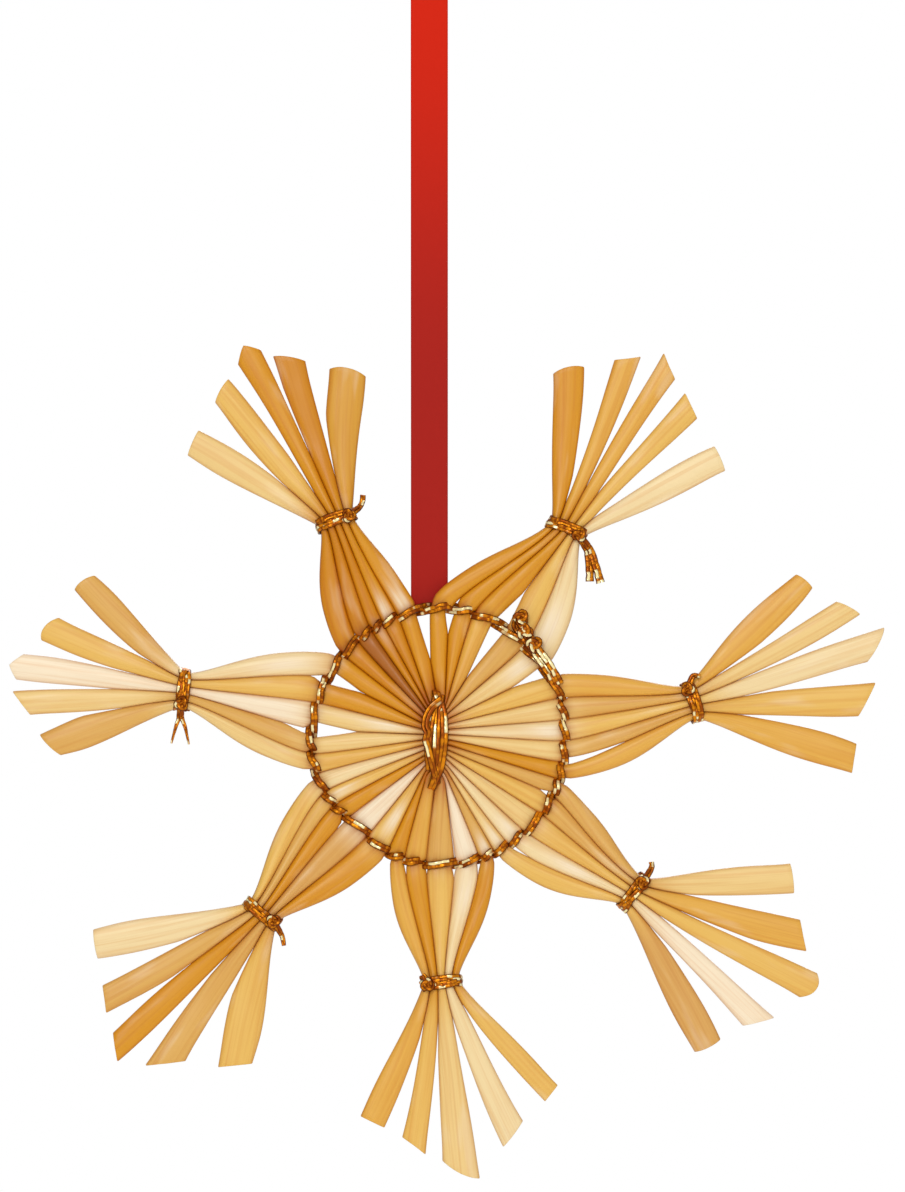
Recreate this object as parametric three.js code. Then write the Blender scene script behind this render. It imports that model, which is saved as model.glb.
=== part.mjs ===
// Straw star ornament: eighteen flattened straws bound edge-on at the middle, fanned into a rosette,
// woven together by a ring of gold thread, tied into seven rays and hung on a ribbon loop.
// Millimetres, +Z up, the front of the star faces -Y. Origin at the inside top of the ribbon loop.
import * as THREE from 'three'

const DEG = Math.PI / 180
const STRAWS = 18
const ENDS_PER_RAY = 5
const LAST_END = 34

// Places on the star are given from the centre of the thread ring, x to the right and z up.
const CENTRE = { x: 1.2, z: -84 }

// The stack of straws inside the centre binding, and the curve on which they leave it.
const STACK = { x: -0.45, z: -0.3, pitch: 0.43, half: 0.16, depth: 3.2, swell: 11 }
const KNEE = { inner: 0.72, out: 0.68, tall: 4.85, start: 8, half: 0.23, flat: 0.92 }
const BINDING = { turns: 4, radius: 0.22, front: 1.95, spread: 0.62, pair: 0.24, shoulder: 2.4,
  low: 4.6, high: 5.06, wrap: 1.15 }

// The woven ring: two turns of thread, the gap between the straws that it passes through and the
// distance of each turn from the middle line; then the ties, whose turns are `step` apart.
const RING = { radius: 13.75, turns: 2, thread: 0.2, gap: 0.7, split: 0.25, clear: 0.1, depth: 0.8, first: 4 }
const TIE = { turns: 2, thread: 0.2, knot: 0.34, pitch: 0.77, half: 0.33, depth: 2.6, side: 2.5,
  front: 1.82, step: 0.44 }

// A straw's greatest half width between ring and tie, its depth there and at the cut, how fast it
// opens from the knee, how far it swells inside the ring, and the least gap to its neighbour.
const STRAW = { belly: 1.45, flat: 1.2, cut: 0.85, opening: 2.6, petal: 0.14, gap: 0.12, slack: 0.02 }

// How much wider or narrower than its cut end a blade is halfway along, by straw end.
const BELLIES = { 1: -0.25, 2: -0.3, 3: -0.3, 5: 0.7, 7: -0.15, 8: -0.1, 9: 0.15, 11: 0.1, 12: -0.4,
  13: -0.3, 14: 0.15, 16: -0.2, 17: -0.45, 18: -0.3, 20: 0.25, 21: -0.1, 24: 0.3, 25: 0.3, 28: -0.15,
  29: 0.35, 30: 0.15, 31: 0.2, 32: -0.3, 33: -0.3, 34: 0.15 }

// How strongly each stretch of a straw keeps its direction at its inner and outer end.
const PULL = { hub: [1.1, 0.5], inside: [0.6, 0.35], outside: [0.62, 0.5], blade: [0.35, 0.75] }

const RIBBON = { x: -1.2, width: 4, thick: 0.3, end: 13.9, back: 1.5, part: 0.3, loop: 3, bend: 3,
  straight: 2, arc: 12 }

// Where each straw end crosses the ring: bearings in degrees clockwise from the top, from and to.
const CROSSINGS = [
  [-5, 3.5], [7, 13.5], [14.5, 25.5], [31, 41], [42, 57],
  [61, 72], [73.5, 81], [83, 91], [92, 101], [103, 109.5],
  [110, 116], [118, 126.5], [127, 139], [140, 147], [147.5, 155],
  [155.5, 161], [162, 171], [173, 188], [188.5, 196.5], [197, 203],
  [204, 215.5], [216, 230.5], [231, 237], [237.5, 244], [244.5, 252.5],
  [255, 262.5], [263.5, 269.5], [275.5, 285], [285.5, 296], [301, 309],
  [309.5, 320], [320.5, 327.5], [327.5, 332.5], [332.5, 340], [340, 350]
]

// Each ray: the bearing and distance of its tie, how far the tie leans off square in degrees, the
// side of its knot, 1 for clockwise, the thread tail as sideways and outward from the tie's middle
// and back, and for each straw in clockwise order its cut end: x, z, width, the amount by which the
// clockwise corner of the cut reaches past the other, and how far the straw bows clockwise between
// ring and tie and between tie and cut end.
const RAYS = [
  { name: 'upper_right', bearing: 31.3, reach: 26.3, lean: 4, knot: 1,
    tail: [[3.1, -0.9, -0.5], [4.1, -2, -0.5], [5.5, -3.7, -0.5]],
    fan: [[13.8, 40, 3.3, 0.7, 0.4, 0], [20.3, 40.9, 2.6, 1.2, 0, 0], [24.7, 40.1, 2.6, -1.7, 0, -0.1],
      [27.1, 35.8, 2.8, -1, 0, 0], [30.3, 30.1, 3, 0, 0.35, 0.2]] },
  { name: 'right', bearing: 82.1, reach: 27.5, lean: 13, knot: -1,
    tail: [[2.6, 1, -1.5], [2.3, 1.7, -1.7]],
    fan: [[39.4, 17, 2.3, 0.1, 0, -0.15], [44.3, 14, 2.5, 1.4, 0, 0], [47.4, 10.1, 3.1, -2.8, 0, 0],
      [46.2, 4.1, 3.5, -1.9, 0, 0.1], [44.7, -2.4, 3.2, 0.6, 0.3, 0.1]] },
  { name: 'lower_right', bearing: 128.8, reach: 26.8, lean: -2, knot: -1,
    tail: [[3.3, -0.3, -0.9], [3.6, -0.65, -1.2]],
    fan: [[38.1, -15.2, 3.3, 0, 0.45, -0.1], [39.2, -21.5, 3.1, 1.4, 0.2, 0.1],
      [40.6, -27.3, 3.3, -0.5, 0, 0.1], [34.5, -30.8, 3, -1.7, 0, 0.1], [28.9, -33.6, 3.1, 0, 0.5, 0]] },
  { name: 'bottom', bearing: 179.8, reach: 26.5, lean: 7, knot: 1,
    tail: [[3.1, -0.5, -0.5], [2.9, -1.1, -0.5]],
    fan: [[12, -38.5, 2.3, 0.2, -0.2, -0.1], [7.9, -43, 3.1, 1.5, 0, 0], [2.2, -47.2, 3.9, -2.3, 0, -0.1],
      [-2.8, -44.2, 2.8, -1.4, 0, 0], [-7.4, -41.6, 2.8, 0, 0.2, -0.1]] },
  { name: 'lower_left', bearing: 225.4, reach: 27.1, lean: 13, knot: -1,
    tail: [[3.3, 0.9, -0.5], [3.9, 1.6, -0.5]],
    fan: [[-22.2, -35.5, 3.7, 1, -0.3, 0.1], [-29.7, -35.3, 3.3, 2.7, 0, 0.2],
      [-35.2, -33.5, 2.7, -1.6, 0, 0.1], [-36.3, -28.4, 2.9, -1, 0, 0], [-37.4, -22.4, 3.1, 0, 0, 0]] },
  { name: 'left', bearing: 280.4, reach: 28.3, lean: 4, knot: -1,
    tail: [[3.3, 0, -0.5], [4.1, -0.1, -0.5], [5.4, 0, -0.5]],
    fan: [[-42.4, -0.9, 3, 1.2, 0, 0], [-45.3, 3.6, 2.7, 1.6, 0, -0.1], [-46.6, 7.8, 2.8, -0.4, 0, 0],
      [-42.8, 11.9, 3.1, -0.7, 0, 0], [-38.7, 16.9, 2.6, -0.3, 0.2, 0]] },
  { name: 'upper_left', bearing: 334.2, reach: 26, lean: -6, knot: 1,
    tail: [[3.2, 0.7, -0.5], [3.7, 1.3, -0.5]],
    fan: [[-26.8, 31.9, 3, 0.2, -0.4, -0.25], [-23.8, 37.5, 2.8, 0.9, 0, -0.25],
      [-21.3, 42.3, 2.85, 0.2, 0, 0], [-16.4, 41.1, 3.3, -1.5, 0, -0.2], [-10.1, 39.9, 3.9, -0.6, -0.3, -0.3]] }
]

// ---- small plane helpers: points are [x, z] from the ring centre ----
const at = (bearing, r) => [r * Math.sin(bearing * DEG), r * Math.cos(bearing * DEG)]
const add = (a, b, k = 1) => [a[0] + b[0] * k, a[1] + b[1] * k]
const sub = (a, b) => [a[0] - b[0], a[1] - b[1]]
const len = (a) => Math.hypot(a[0], a[1])
const unit = (a) => [a[0] / len(a), a[1] / len(a)]
const mix = (a, b, k) => a + (b - a) * k
const clamp = (u) => Math.max(0, Math.min(1, u))
const ease = (u) => clamp(u) ** 2 * (3 - 2 * clamp(u))
const clockwise = (t) => [t[1], -t[0]]
const bump = (b, middle, spread) => Math.exp(-(((b - middle) / spread) ** 2))
const spot = (q, y) => new THREE.Vector3(q[0] + CENTRE.x, y, q[1] + CENTRE.z)

// The ring is pulled in where the thread was drawn tight.
function ringRadius (bearing) {
  const b = ((bearing % 360) + 360) % 360
  return RING.radius - 0.45 * bump(b, 47, 14) - 0.7 * bump(b, 222, 12) - 0.35 * bump(b, 90, 20) +
    0.25 * bump(b, 265, 20) + 0.25 * (bump(b, 0, 15) + bump(b, 360, 15))
}

// Points spread evenly by length along a curve given as f(0..1).
function spreadAlong (f, count) {
  const steps = 400
  const pts = Array.from({ length: steps + 1 }, (_, i) => f(i / steps))
  const sums = [0]
  for (let i = 1; i <= steps; i++) sums.push(sums[i - 1] + len(sub(pts[i], pts[i - 1])))
  return Array.from({ length: count }, (_, n) => {
    const want = sums[steps] * n / (count - 1)
    let i = 1
    while (i < steps && sums[i] < want) i++
    const k = (want - sums[i - 1]) / (sums[i] - sums[i - 1])
    return [mix(pts[i - 1][0], pts[i][0], k), mix(pts[i - 1][1], pts[i][1], k)]
  })
}

const KNEES = spreadAlong((u) => {
  const a = mix(KNEE.start, 180 - KNEE.start, u) * DEG
  return [KNEE.inner + KNEE.out * Math.sin(a), KNEE.tall * Math.cos(a)]
}, STRAWS)

const fromMiddle = (i) => i - (STRAWS - 1) / 2
const stackLevel = (i) => STACK.z - STACK.pitch * fromMiddle(i)
const stackDepth = (i) => STACK.depth * Math.sqrt(1 - (fromMiddle(i) / STACK.swell) ** 2)
const tieAxis = (ray) => at(ray.bearing, 1)
const tieBand = (ray) => at(ray.bearing - ray.lean + 90, 1)

// ---- the straws' routes ----

// One straw end: hub, knee, ring, tie and tip, joined by smooth curves. Ends 0 to 17 are the right
// ends of straws 1 to 18, and ends 34 down to 18 are the left ends of straws 1 to 17.
function makeEnd (j) {
  const right = j < STRAWS
  const i = right ? j : LAST_END - j
  const side = right ? 1 : -1
  const ray = RAYS[Math.floor(j / ENDS_PER_RAY)]
  const slot = (j % ENDS_PER_RAY) - 2
  const [from, to] = CROSSINGS[j]
  const bearing = (from + to) / 2
  const hub = [STACK.x, stackLevel(i)]
  const knee = [STACK.x + side * KNEES[i][0], STACK.z + KNEES[i][1]]
  const ring = at(bearing, ringRadius(bearing))
  const tie = add(at(ray.bearing, ray.reach), tieBand(ray), slot * TIE.pitch)
  const [tipX, tipZ, width, cut, bow, curl] = ray.fan[slot + 2]
  const tip = [tipX, tipZ]
  const inward = unit(sub(ring, knee))
  const outward = unit(sub(tie, ring))
  const blade = unit(sub(tip, tie))
  const atRing = unit(add([inward[0] * 0.6, inward[1] * 0.6], outward, 0.4))
  const atTie = unit(add(add(outward, blade, 0.9), tieAxis(ray), 0.4))
  const atTip = unit(add(blade, sub(blade, atTie), 0.22))
  const arc = (to - from) / 2 * DEG * ringRadius(bearing)
  const parts = [
    { a: hub, b: knee, ta: [side, 0], tb: inward, pull: PULL.hub, bow: 0 },
    { a: knee, b: ring, ta: inward, tb: atRing, pull: PULL.inside, bow: 0 },
    { a: ring, b: tie, ta: atRing, tb: atTie, pull: PULL.outside, bow },
    { a: tie, b: tip, ta: atTie, tb: atTip, pull: PULL.blade, bow: curl }
  ]
  return { j, i, side, slot, bearing, width, cut, arc, parts,
    ringHalf: Math.max(0.2, arc - RING.gap / 2 - STRAW.slack),
    ringDepth: RING.depth + 0.06 * ((j * 7) % 3) }
}

// Place and direction on part n of a straw end, u from 0 to 1: a Hermite curve with a smooth push
// to the clockwise side that is nothing at both ends of the part.
function onPart (end, n, u) {
  const { a, b, ta, tb, pull, bow } = end.parts[n]
  const L = len(sub(b, a))
  const u2 = u * u
  const u3 = u2 * u
  const [near, far] = [L * pull[0], L * pull[1]]
  const w = [2 * u3 - 3 * u2 + 1, -2 * u3 + 3 * u2, (u3 - 2 * u2 + u) * near, (u3 - u2) * far]
  const d = [6 * u2 - 6 * u, -6 * u2 + 6 * u, (3 * u2 - 4 * u + 1) * near, (3 * u2 - 2 * u) * far]
  const blend = (k) => [a[0] * k[0] + b[0] * k[1] + ta[0] * k[2] + tb[0] * k[3],
    a[1] * k[0] + b[1] * k[1] + ta[1] * k[2] + tb[1] * k[3]]
  const aside = clockwise(unit(sub(b, a)))
  return { p: add(blend(w), aside, bow * 16 * (u * (1 - u)) ** 2),
    t: unit(add(blend(d), aside, bow * 32 * u * (1 - u) * (1 - 2 * u))) }
}

// The distance from a point to a neighbouring straw's line.
function reachOf (p, line) {
  let best = Infinity
  for (let s = 1; s < line.length; s++) {
    const a = line[s - 1]
    const d = sub(line[s], a)
    const q = sub(p, a)
    const k = clamp((q[0] * d[0] + q[1] * d[1]) / (d[0] * d[0] + d[1] * d[1]))
    best = Math.min(best, len(sub(q, [d[0] * k, d[1] * k])))
  }
  return best
}

const ENDS = Array.from({ length: LAST_END + 1 }, (_, j) => makeEnd(j))
const LINE_STEPS = 24
for (const end of ENDS) {
  end.line = [onPart(end, 0, 0).p]
  for (let n = 0; n < end.parts.length; n++) {
    for (let s = 1; s <= LINE_STEPS; s++) end.line.push(onPart(end, n, s / LINE_STEPS).p)
  }
}

// ---- the straws' sections ----

// Half width a straw would take with no neighbours, and its depth, along each part.
function sizeAt (end, n, u) {
  const full = end.width / 2
  const hubDepth = stackDepth(end.i)
  const kneeDepth = hubDepth * KNEE.flat
  const tieDepth = TIE.depth * Math.sqrt(1 - (end.slot / 2.9) ** 2)
  if (n === 0) return { half: mix(STACK.half, KNEE.half, u), depth: mix(hubDepth, kneeDepth, u) }
  if (n === 1) {
    const petal = 1 + STRAW.petal * Math.sin(Math.PI * clamp(1.02 * u * u))
    const fanned = Math.min(KNEE.half + STRAW.opening * u, end.arc * 1.02)
    return { half: mix(fanned, end.ringHalf, ease((u - 0.86) / 0.14)) * petal,
      depth: mix(kneeDepth, end.ringDepth, ease(u * 1.05)) }
  }
  if (n === 2) {
    const shut = ease((u - 0.35) / 0.65)
    const wide = mix(end.arc, Math.max(end.arc, Math.min(STRAW.belly, full)), ease(u / 0.6))
    return { half: mix(mix(end.ringHalf, wide, ease(u / 0.12)), TIE.half, shut),
      depth: mix(mix(end.ringDepth, STRAW.flat, clamp(u / 0.3)), tieDepth, shut) }
  }
  const open = clamp(u / 0.82)
  const opened = (1 - (1 - open) ** 2 + ease(open)) / 2
  const belly = (BELLIES[end.j] ?? 0) * Math.sin(Math.PI * u)
  return { half: mix(TIE.half, full + belly, opened), depth: mix(tieDepth, STRAW.cut, ease(u / 0.6)) }
}

// A flat hexagon across the straw, as wide as its neighbours leave room for, slanted at the cut.
function sectionOf (end, n, u) {
  const { p, t } = onPart(end, n, u)
  const { half, depth } = sizeAt(end, n, u)
  const room = (step) => {
    const other = ENDS[(end.j + step + ENDS.length) % ENDS.length]
    return Math.max(STACK.half, Math.min(half, reachOf(p, other.line) / 2 - STRAW.gap / 2))
  }
  const cw = room(1)
  const ccw = room(-1)
  const across = n === 0 && u === 0 ? [0, -end.side] : clockwise(t)
  const slip = n === 3 ? end.cut / 2 * Math.max(0, (u - 0.6) / 0.4) : 0
  const shape = [[-ccw, 0, -slip], [-ccw / 2, 1, -slip / 2], [cw / 2, 1, slip / 2],
    [cw, 0, slip], [cw / 2, -1, slip / 2], [-ccw / 2, -1, -slip / 2]]
  return shape.map(([w, y, s]) => spot(add(add(p, across, w), t, s), y * depth / 2))
}

// ---- solids ----

const MATERIALS = {
  straw: new THREE.MeshStandardMaterial({ color: 0xd9a95b, roughness: 0.45, metalness: 0 }),
  gold_thread: new THREE.MeshStandardMaterial({ color: 0xb07a20, roughness: 0.3, metalness: 0.9 }),
  ribbon: new THREE.MeshStandardMaterial({ color: 0xc22b20, roughness: 0.4, metalness: 0 })
}

// Six times the volume that a closed set of triangles holds, negative when it is inside out.
function signedVolume (pos, index) {
  const corner = (i) => new THREE.Vector3(pos[3 * i], pos[3 * i + 1], pos[3 * i + 2])
  let sum = 0
  for (let f = 0; f < index.length; f += 3) {
    sum += corner(index[f]).dot(corner(index[f + 1]).cross(corner(index[f + 2])))
  }
  return sum
}

// Skin over a row of equal-sided rings of points, capped at both ends.
function skin (name, material, rings) {
  const k = rings[0].length
  const pos = rings.flat().flatMap((v) => [v.x, v.y, v.z])
  const index = []
  for (let r = 0; r + 1 < rings.length; r++) {
    const a = r * k
    const b = a + k
    for (let s = 0; s < k; s++) {
      const e = (s + 1) % k
      index.push(a + s, b + s, b + e, a + s, b + e, a + e)
    }
  }
  const z = (rings.length - 1) * k
  for (let s = 1; s < k - 1; s++) index.push(0, s, s + 1, z, z + s + 1, z + s)
  if (signedVolume(pos, index) < 0) index.reverse()
  const geometry = new THREE.BufferGeometry()
  geometry.setAttribute('position', new THREE.Float32BufferAttribute(pos, 3))
  geometry.setIndex(index)
  geometry.computeVertexNormals()
  const mesh = new THREE.Mesh(geometry, material)
  mesh.name = name
  return mesh
}

// A round thread along 3-D points; `upright` is a direction roughly square to it at each point.
function thread (name, pts, upright, radiusAt, sides) {
  const rings = pts.map((p, i) => {
    const t = pts[Math.min(i + 1, pts.length - 1)].clone().sub(pts[Math.max(i - 1, 0)]).normalize()
    const u = upright(p).clone()
    u.addScaledVector(t, -u.dot(t)).normalize()
    const v = t.clone().cross(u)
    return Array.from({ length: sides }, (_, s) => {
      const a = (s + 0.5) / sides * 2 * Math.PI
      const r = radiusAt(i)
      return p.clone().addScaledVector(u, r * Math.cos(a)).addScaledVector(v, r * Math.sin(a))
    })
  })
  return skin(name, MATERIALS.gold_thread, rings)
}

// ---- the straws ----

// Where a straw gets a section, as part and place on it.
const STATIONS = [[1, 0], [1, 0.2], [1, 0.65], [1, 0.88], [1, 1],
  [2, 0.12], [2, 0.4], [2, 0.75], [2, 1], [3, 0.12], [3, 0.5], [3, 1]]
const HUB_STATION = [0, 0.5]

// Straw k runs from its right end through the binding to its left end. The lowest one is half a
// straw and stops at the binding.
function straw (k) {
  const right = ENDS[k]
  // The three straws at each end of the stack turn tightest, so they get one more section there.
  const stations = k < 3 || k > STRAWS - 4 ? [HUB_STATION, ...STATIONS] : STATIONS
  const rings = stations.map(([n, u]) => sectionOf(right, n, u)).reverse()
  rings.push(sectionOf(right, 0, 0))
  if (k < STRAWS - 1) {
    const left = ENDS[LAST_END - k]
    for (const [n, u] of stations) {
      // Beyond the middle the section's two edges have changed places.
      const s = sectionOf(left, n, u)
      rings.push([s[3], s[2], s[1], s[0], s[5], s[4]])
    }
  }
  return skin(`straw_${String(k + 1).padStart(2, '0')}`, MATERIALS.straw, rings)
}

// ---- the gold threads ----

// The bearing of the gap between end n and the one before it.
function gapBearing (n) {
  const before = CROSSINGS[(n + LAST_END) % ENDS.length]
  const after = CROSSINGS[n % ENDS.length]
  return (before[1] - (n % ENDS.length === 0 ? 360 : 0) + after[0]) / 2
}

// The ring thread goes round twice, over one straw and under the next, so that its second turn
// lies on the other side of each straw, and ends in a doubled tail inside the ring.
function ringThread () {
  const pts = [spot([8.7, 13.2], -1.35), spot([8.1, 12.2], -1.2)]
  for (let n = RING.first; n < RING.first + RING.turns * ENDS.length; n++) {
    const end = ENDS[n % ENDS.length]
    const over = n % 2 === 0 ? -1 : 1
    const offset = n - RING.first < ENDS.length ? RING.split : -RING.split
    const height = end.ringDepth / 2 + RING.clear + RING.thread
    const place = (bearing, y) => spot(at(bearing, ringRadius(bearing) + offset), y)
    const stance = end.ringHalf * 0.45 / ringRadius(end.bearing) / DEG
    if (n > RING.first) pts.push(place(gapBearing(n), -over * height * 0.55))
    pts.push(place(gapBearing(n), over * height * 0.55))
    pts.push(place(end.bearing - stance, over * height), place(end.bearing + stance, over * height))
  }
  pts.push(spot([10.3, 9.6], -1.2), spot([11.2, 8.4], -1.25), spot([12.3, 6.7], -1.1))
  const middle = spot([0, 0], 0)
  return thread('ring_thread', pts, (p) => p.clone().sub(middle).setY(0), () => RING.thread, 5)
}

// A tie goes twice round five straws, from one side back to it, and finishes there in a knot and
// a cut tail.
function tie (ray) {
  const axis = tieAxis(ray)
  const band = tieBand(ray)
  const outward = at(ray.bearing - ray.lean, 1)
  const centre = at(ray.bearing, ray.reach)
  const steps = 10 * TIE.turns
  const squarish = (v) => Math.sign(v) * Math.abs(v) ** 0.75
  const place = (side, out, y) => spot(add(add(centre, band, side * ray.knot), outward, out), y)
  const pts = []
  for (let s = 0; s <= steps; s++) {
    const a = s * TIE.turns / steps * 2 * Math.PI
    const climb = (s / steps * 2 - 1) * TIE.step
    pts.push(place(squarish(Math.cos(a)) * TIE.side, climb, squarish(Math.sin(a)) * TIE.front))
  }
  const knot = pts.length
  pts.push(place(TIE.side + 0.72, TIE.step - 0.35, 0.4))
  for (const [side, out, y] of ray.tail) pts.push(place(side, out, y))
  const radius = (i) => i === knot ? TIE.knot : TIE.thread
  return thread(`tie_${ray.name}`, pts, () => new THREE.Vector3(axis[0], 0.02, axis[1]), radius, 4)
}

// The centre binding goes four times round the stack; its turns lie side by side across the front
// and crowd together in two pairs, one above the other, over the stack's top and bottom.
function centreBinding () {
  const B = BINDING
  const pts = []
  const place = (x, z, y) => pts.push(spot([STACK.x + x, STACK.z + z], y))
  const pairAt = (k) => k % 2 === 0 ? -B.pair : B.pair
  const tallAt = (k) => k < 2 ? B.low : B.high
  for (let k = 0; k < B.turns; k++) {
    const front = (k - (B.turns - 1) / 2) * B.spread
    const back = front + B.spread / 2
    place(front, -B.shoulder, -B.front)
    place(front + 0.05, B.shoulder, -B.front)
    place(pairAt(k), tallAt(k), -B.wrap)
    place(pairAt(k), tallAt(k), B.wrap)
    place(back, B.shoulder, B.front)
    place(back, -B.shoulder, B.front)
    if (k + 1 < B.turns) {
      place(pairAt(k + 1), -tallAt(k + 1), B.wrap)
      place(pairAt(k + 1), -tallAt(k + 1), -B.wrap)
    }
  }
  return thread('centre_binding', pts, () => new THREE.Vector3(1, 0.01, 0), () => B.radius, 4)
}

// ---- the ribbon: one strip, up, over and down, its two ends fixed behind the valley ----
function ribbon () {
  const R = RIBBON
  const low = R.end + CENTRE.z
  const x = R.x + CENTRE.x
  const leg = (end, loop) => [[end, low], [end, low + R.straight],
    [mix(end, loop, 0.45), mix(low, -R.bend, 0.42)]]
  const crown = Array.from({ length: R.arc + 1 }, (_, s) => {
    const a = Math.PI * (1 - s / R.arc)
    return [R.loop * Math.cos(a), -R.bend + (R.bend + R.thick / 2) * Math.sin(a)]
  })
  const path = [...leg(R.back - R.part, -R.loop), ...crown, ...leg(R.back + R.part, R.loop).reverse()]
  const rings = path.map((q, i) => {
    const t = unit(sub(path[Math.min(path.length - 1, i + 1)], path[Math.max(0, i - 1)]))
    const n = clockwise(t)
    return [[-1, -1], [1, -1], [1, 1], [-1, 1]].map(([w, h]) => new THREE.Vector3(x + w * R.width / 2,
      q[0] + n[0] * h * R.thick / 2, q[1] + n[1] * h * R.thick / 2))
  })
  return skin('ribbon', MATERIALS.ribbon, rings)
}

const star = new THREE.Group()
for (let k = 0; k < STRAWS; k++) star.add(straw(k))
star.add(ringThread())
for (const ray of RAYS) star.add(tie(ray))
star.add(centreBinding(), ribbon())

export default star
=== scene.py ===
"""Straw star ornament: flattened straws fanned from a bound middle, woven with a ring of gold foil
thread, tied into rays and hung on a narrow satin ribbon. Sizes below are in millimetres."""

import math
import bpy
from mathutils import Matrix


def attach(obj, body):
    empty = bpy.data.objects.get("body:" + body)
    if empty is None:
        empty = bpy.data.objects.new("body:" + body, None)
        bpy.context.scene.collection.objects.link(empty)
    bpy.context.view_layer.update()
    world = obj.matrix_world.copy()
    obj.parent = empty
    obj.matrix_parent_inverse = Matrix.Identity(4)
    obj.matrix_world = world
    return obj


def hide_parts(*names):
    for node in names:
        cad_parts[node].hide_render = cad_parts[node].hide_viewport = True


bl_info = {
    "name": "Straw Star Ornament",
    "version": (1, 0, 0),
    "blender": (4, 5, 0),
    "location": "View3D > Sidebar > Straw Star",
    "description": "Flattened straws, gold foil thread and satin ribbon of a hanging straw star",
    "category": "Add Mesh",
}

from functools import partialmethod

import bpy
from bpy.props import FloatProperty, FloatVectorProperty, IntProperty, PointerProperty
from mathutils import Vector

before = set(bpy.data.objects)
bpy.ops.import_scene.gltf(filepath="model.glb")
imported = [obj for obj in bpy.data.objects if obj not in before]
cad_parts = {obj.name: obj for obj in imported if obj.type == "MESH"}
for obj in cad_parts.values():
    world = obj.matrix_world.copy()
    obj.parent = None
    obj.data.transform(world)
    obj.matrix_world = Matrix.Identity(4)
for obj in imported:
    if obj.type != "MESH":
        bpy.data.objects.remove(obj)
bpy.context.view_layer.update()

MM = 0.001
STRAWS = 18
ENDS_PER_RAY = 5
LAST_END = 34
ENDS_COUNT = LAST_END + 1

# The middle of the thread ring in the part's frame; places on the star are given from it.
CENTRE_X, CENTRE_Z = 1.2, -84.0

# ---- sizes ----

# The stack of straws: middle, a straw's pitch and half width, depth, and straws until it runs out.
STACK_X, STACK_Z, STACK_PITCH, STACK_HALF = -0.45, -0.3, 0.43, 0.24
STACK_DEPTH, STACK_SWELL = 3.2, 11.0
# The knees, on an oval beside the stack: its reach, half height and first degree, a straw's half
# width there and its share of the stack's depth.
KNEE_INNER, KNEE_OUT, KNEE_TALL, KNEE_START, KNEE_HALF, KNEE_FLAT = 0.72, 0.68, 4.85, 8.0, 0.26, 0.92
# The ring: radius, gap for its thread, clearance and a straw's depth under it; and where it is drawn
# in or bulges, as bearing, spread in degrees and how far out.
RING_RADIUS, RING_GAP, RING_CLEAR, RING_DEPTH = 13.75, 0.46, 0.1, 0.8
RING_DENTS = [(47, 14, -0.45), (222, 12, -0.7), (90, 20, -0.35), (265, 20, 0.25), (0, 15, 0.25),
              (360, 15, 0.25)]
# Its thread: half thickness, first straw end crossed, rounds, how far they are twined, and girth.
RING_THREAD, RING_FIRST, RING_TURNS, RING_TWINE, RING_GIRTH = 0.28, 4, 2, 0.26, 1.1
# Its doubled end as x, z and back, how far each strand lies off that line, and the ring's knots with
# their size and turn.
RING_TAIL = [(8.8, 13.4, -0.6), (8.3, 12.3, -1.3), (8.9, 11.3, -1.45), (9.8, 10.2, -1.5),
             (10.5, 9.1, -1.45), (11.4, 7.9, -1.4), (12.2, 6.6, -1.3), (12.7, 5.6, -0.9)]
RING_TAIL_LAP = 0.22
RING_KNOTS = [(8.7, 12.9, -1.2, 0.55, 30), (9.1, 11.4, -1.5, 0.6, 75), (10.1, 10, -1.6, 0.6, 10)]
# Straws at a tie: pitch, half width, depth, and straws until it runs out. The tie itself: half width,
# half depth, turns, climb, how far turns cross, unevenness, points to a turn; its knot: how far in
# from its side, how far in front of it, and size.
TIE_PITCH, TIE_HALF, TIE_DEPTH, TIE_SWELL = 0.77, 0.37, 2.6, 2.9
TIE_SIDE, TIE_FRONT, TIE_TURNS, TIE_STEP = 2.14, 1.52, 3, 0.42
TIE_CROSS, TIE_UNEVEN, TIE_POINTS = 0.24, 0.08, 14
KNOT_IN, KNOT_PROUD, KNOT_SIZE = 0.65, 0.25, 0.5
# A straw: half width between ring and tie, depth near the knee, between ring and tie and at the cut,
# how fast it opens from the knee and swells inside the ring, and how far two straws lap.
STRAW_BELLY, STRAW_SHOULDER, STRAW_FLAT, STRAW_CUT = 1.45, 1.5, 1.3, 0.85
STRAW_OPENING, STRAW_PETAL, STRAW_LAP = 2.6, 0.14, 0.05
# Where a straw narrows to the ring and widens again, as the start and length of a stretch.
BEFORE_RING, AFTER_RING = (0.93, 0.07), (0, 0.07)
# How far a straw swells into the room that a neighbour leaves, near the stack and further out.
CROWD_SWELL, FREE_SWELL = 2.5, 0.5
# The waves in a blade's edges: height and radians; how straws differ in them, and how far they stand
# before or behind each other.
EDGE_WAVE, EDGE_RADIANS, PHASE, STAGGER = 0.06, 7, 2.4, 0.05
# How far beyond the tie a blade is fully open and stops touching its neighbours, as parts of its
# length, and how much wider or narrower than its cut end a blade is halfway along.
BLADE_OPEN, BLADE_FORK = 0.82, 0.3
BLADE_BELLIES = {1: -0.25, 2: -0.3, 3: -0.3, 5: 0.7, 7: -0.15, 8: -0.1, 9: 0.15, 11: 0.1, 12: -0.4,
                 13: -0.3, 14: 0.15, 16: -0.2, 17: -0.45, 18: -0.3, 20: 0.25, 21: -0.1, 24: 0.3,
                 25: 0.3, 28: -0.15, 29: 0.35, 30: 0.15, 31: 0.2, 32: -0.3, 33: -0.3, 34: 0.15}
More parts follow.
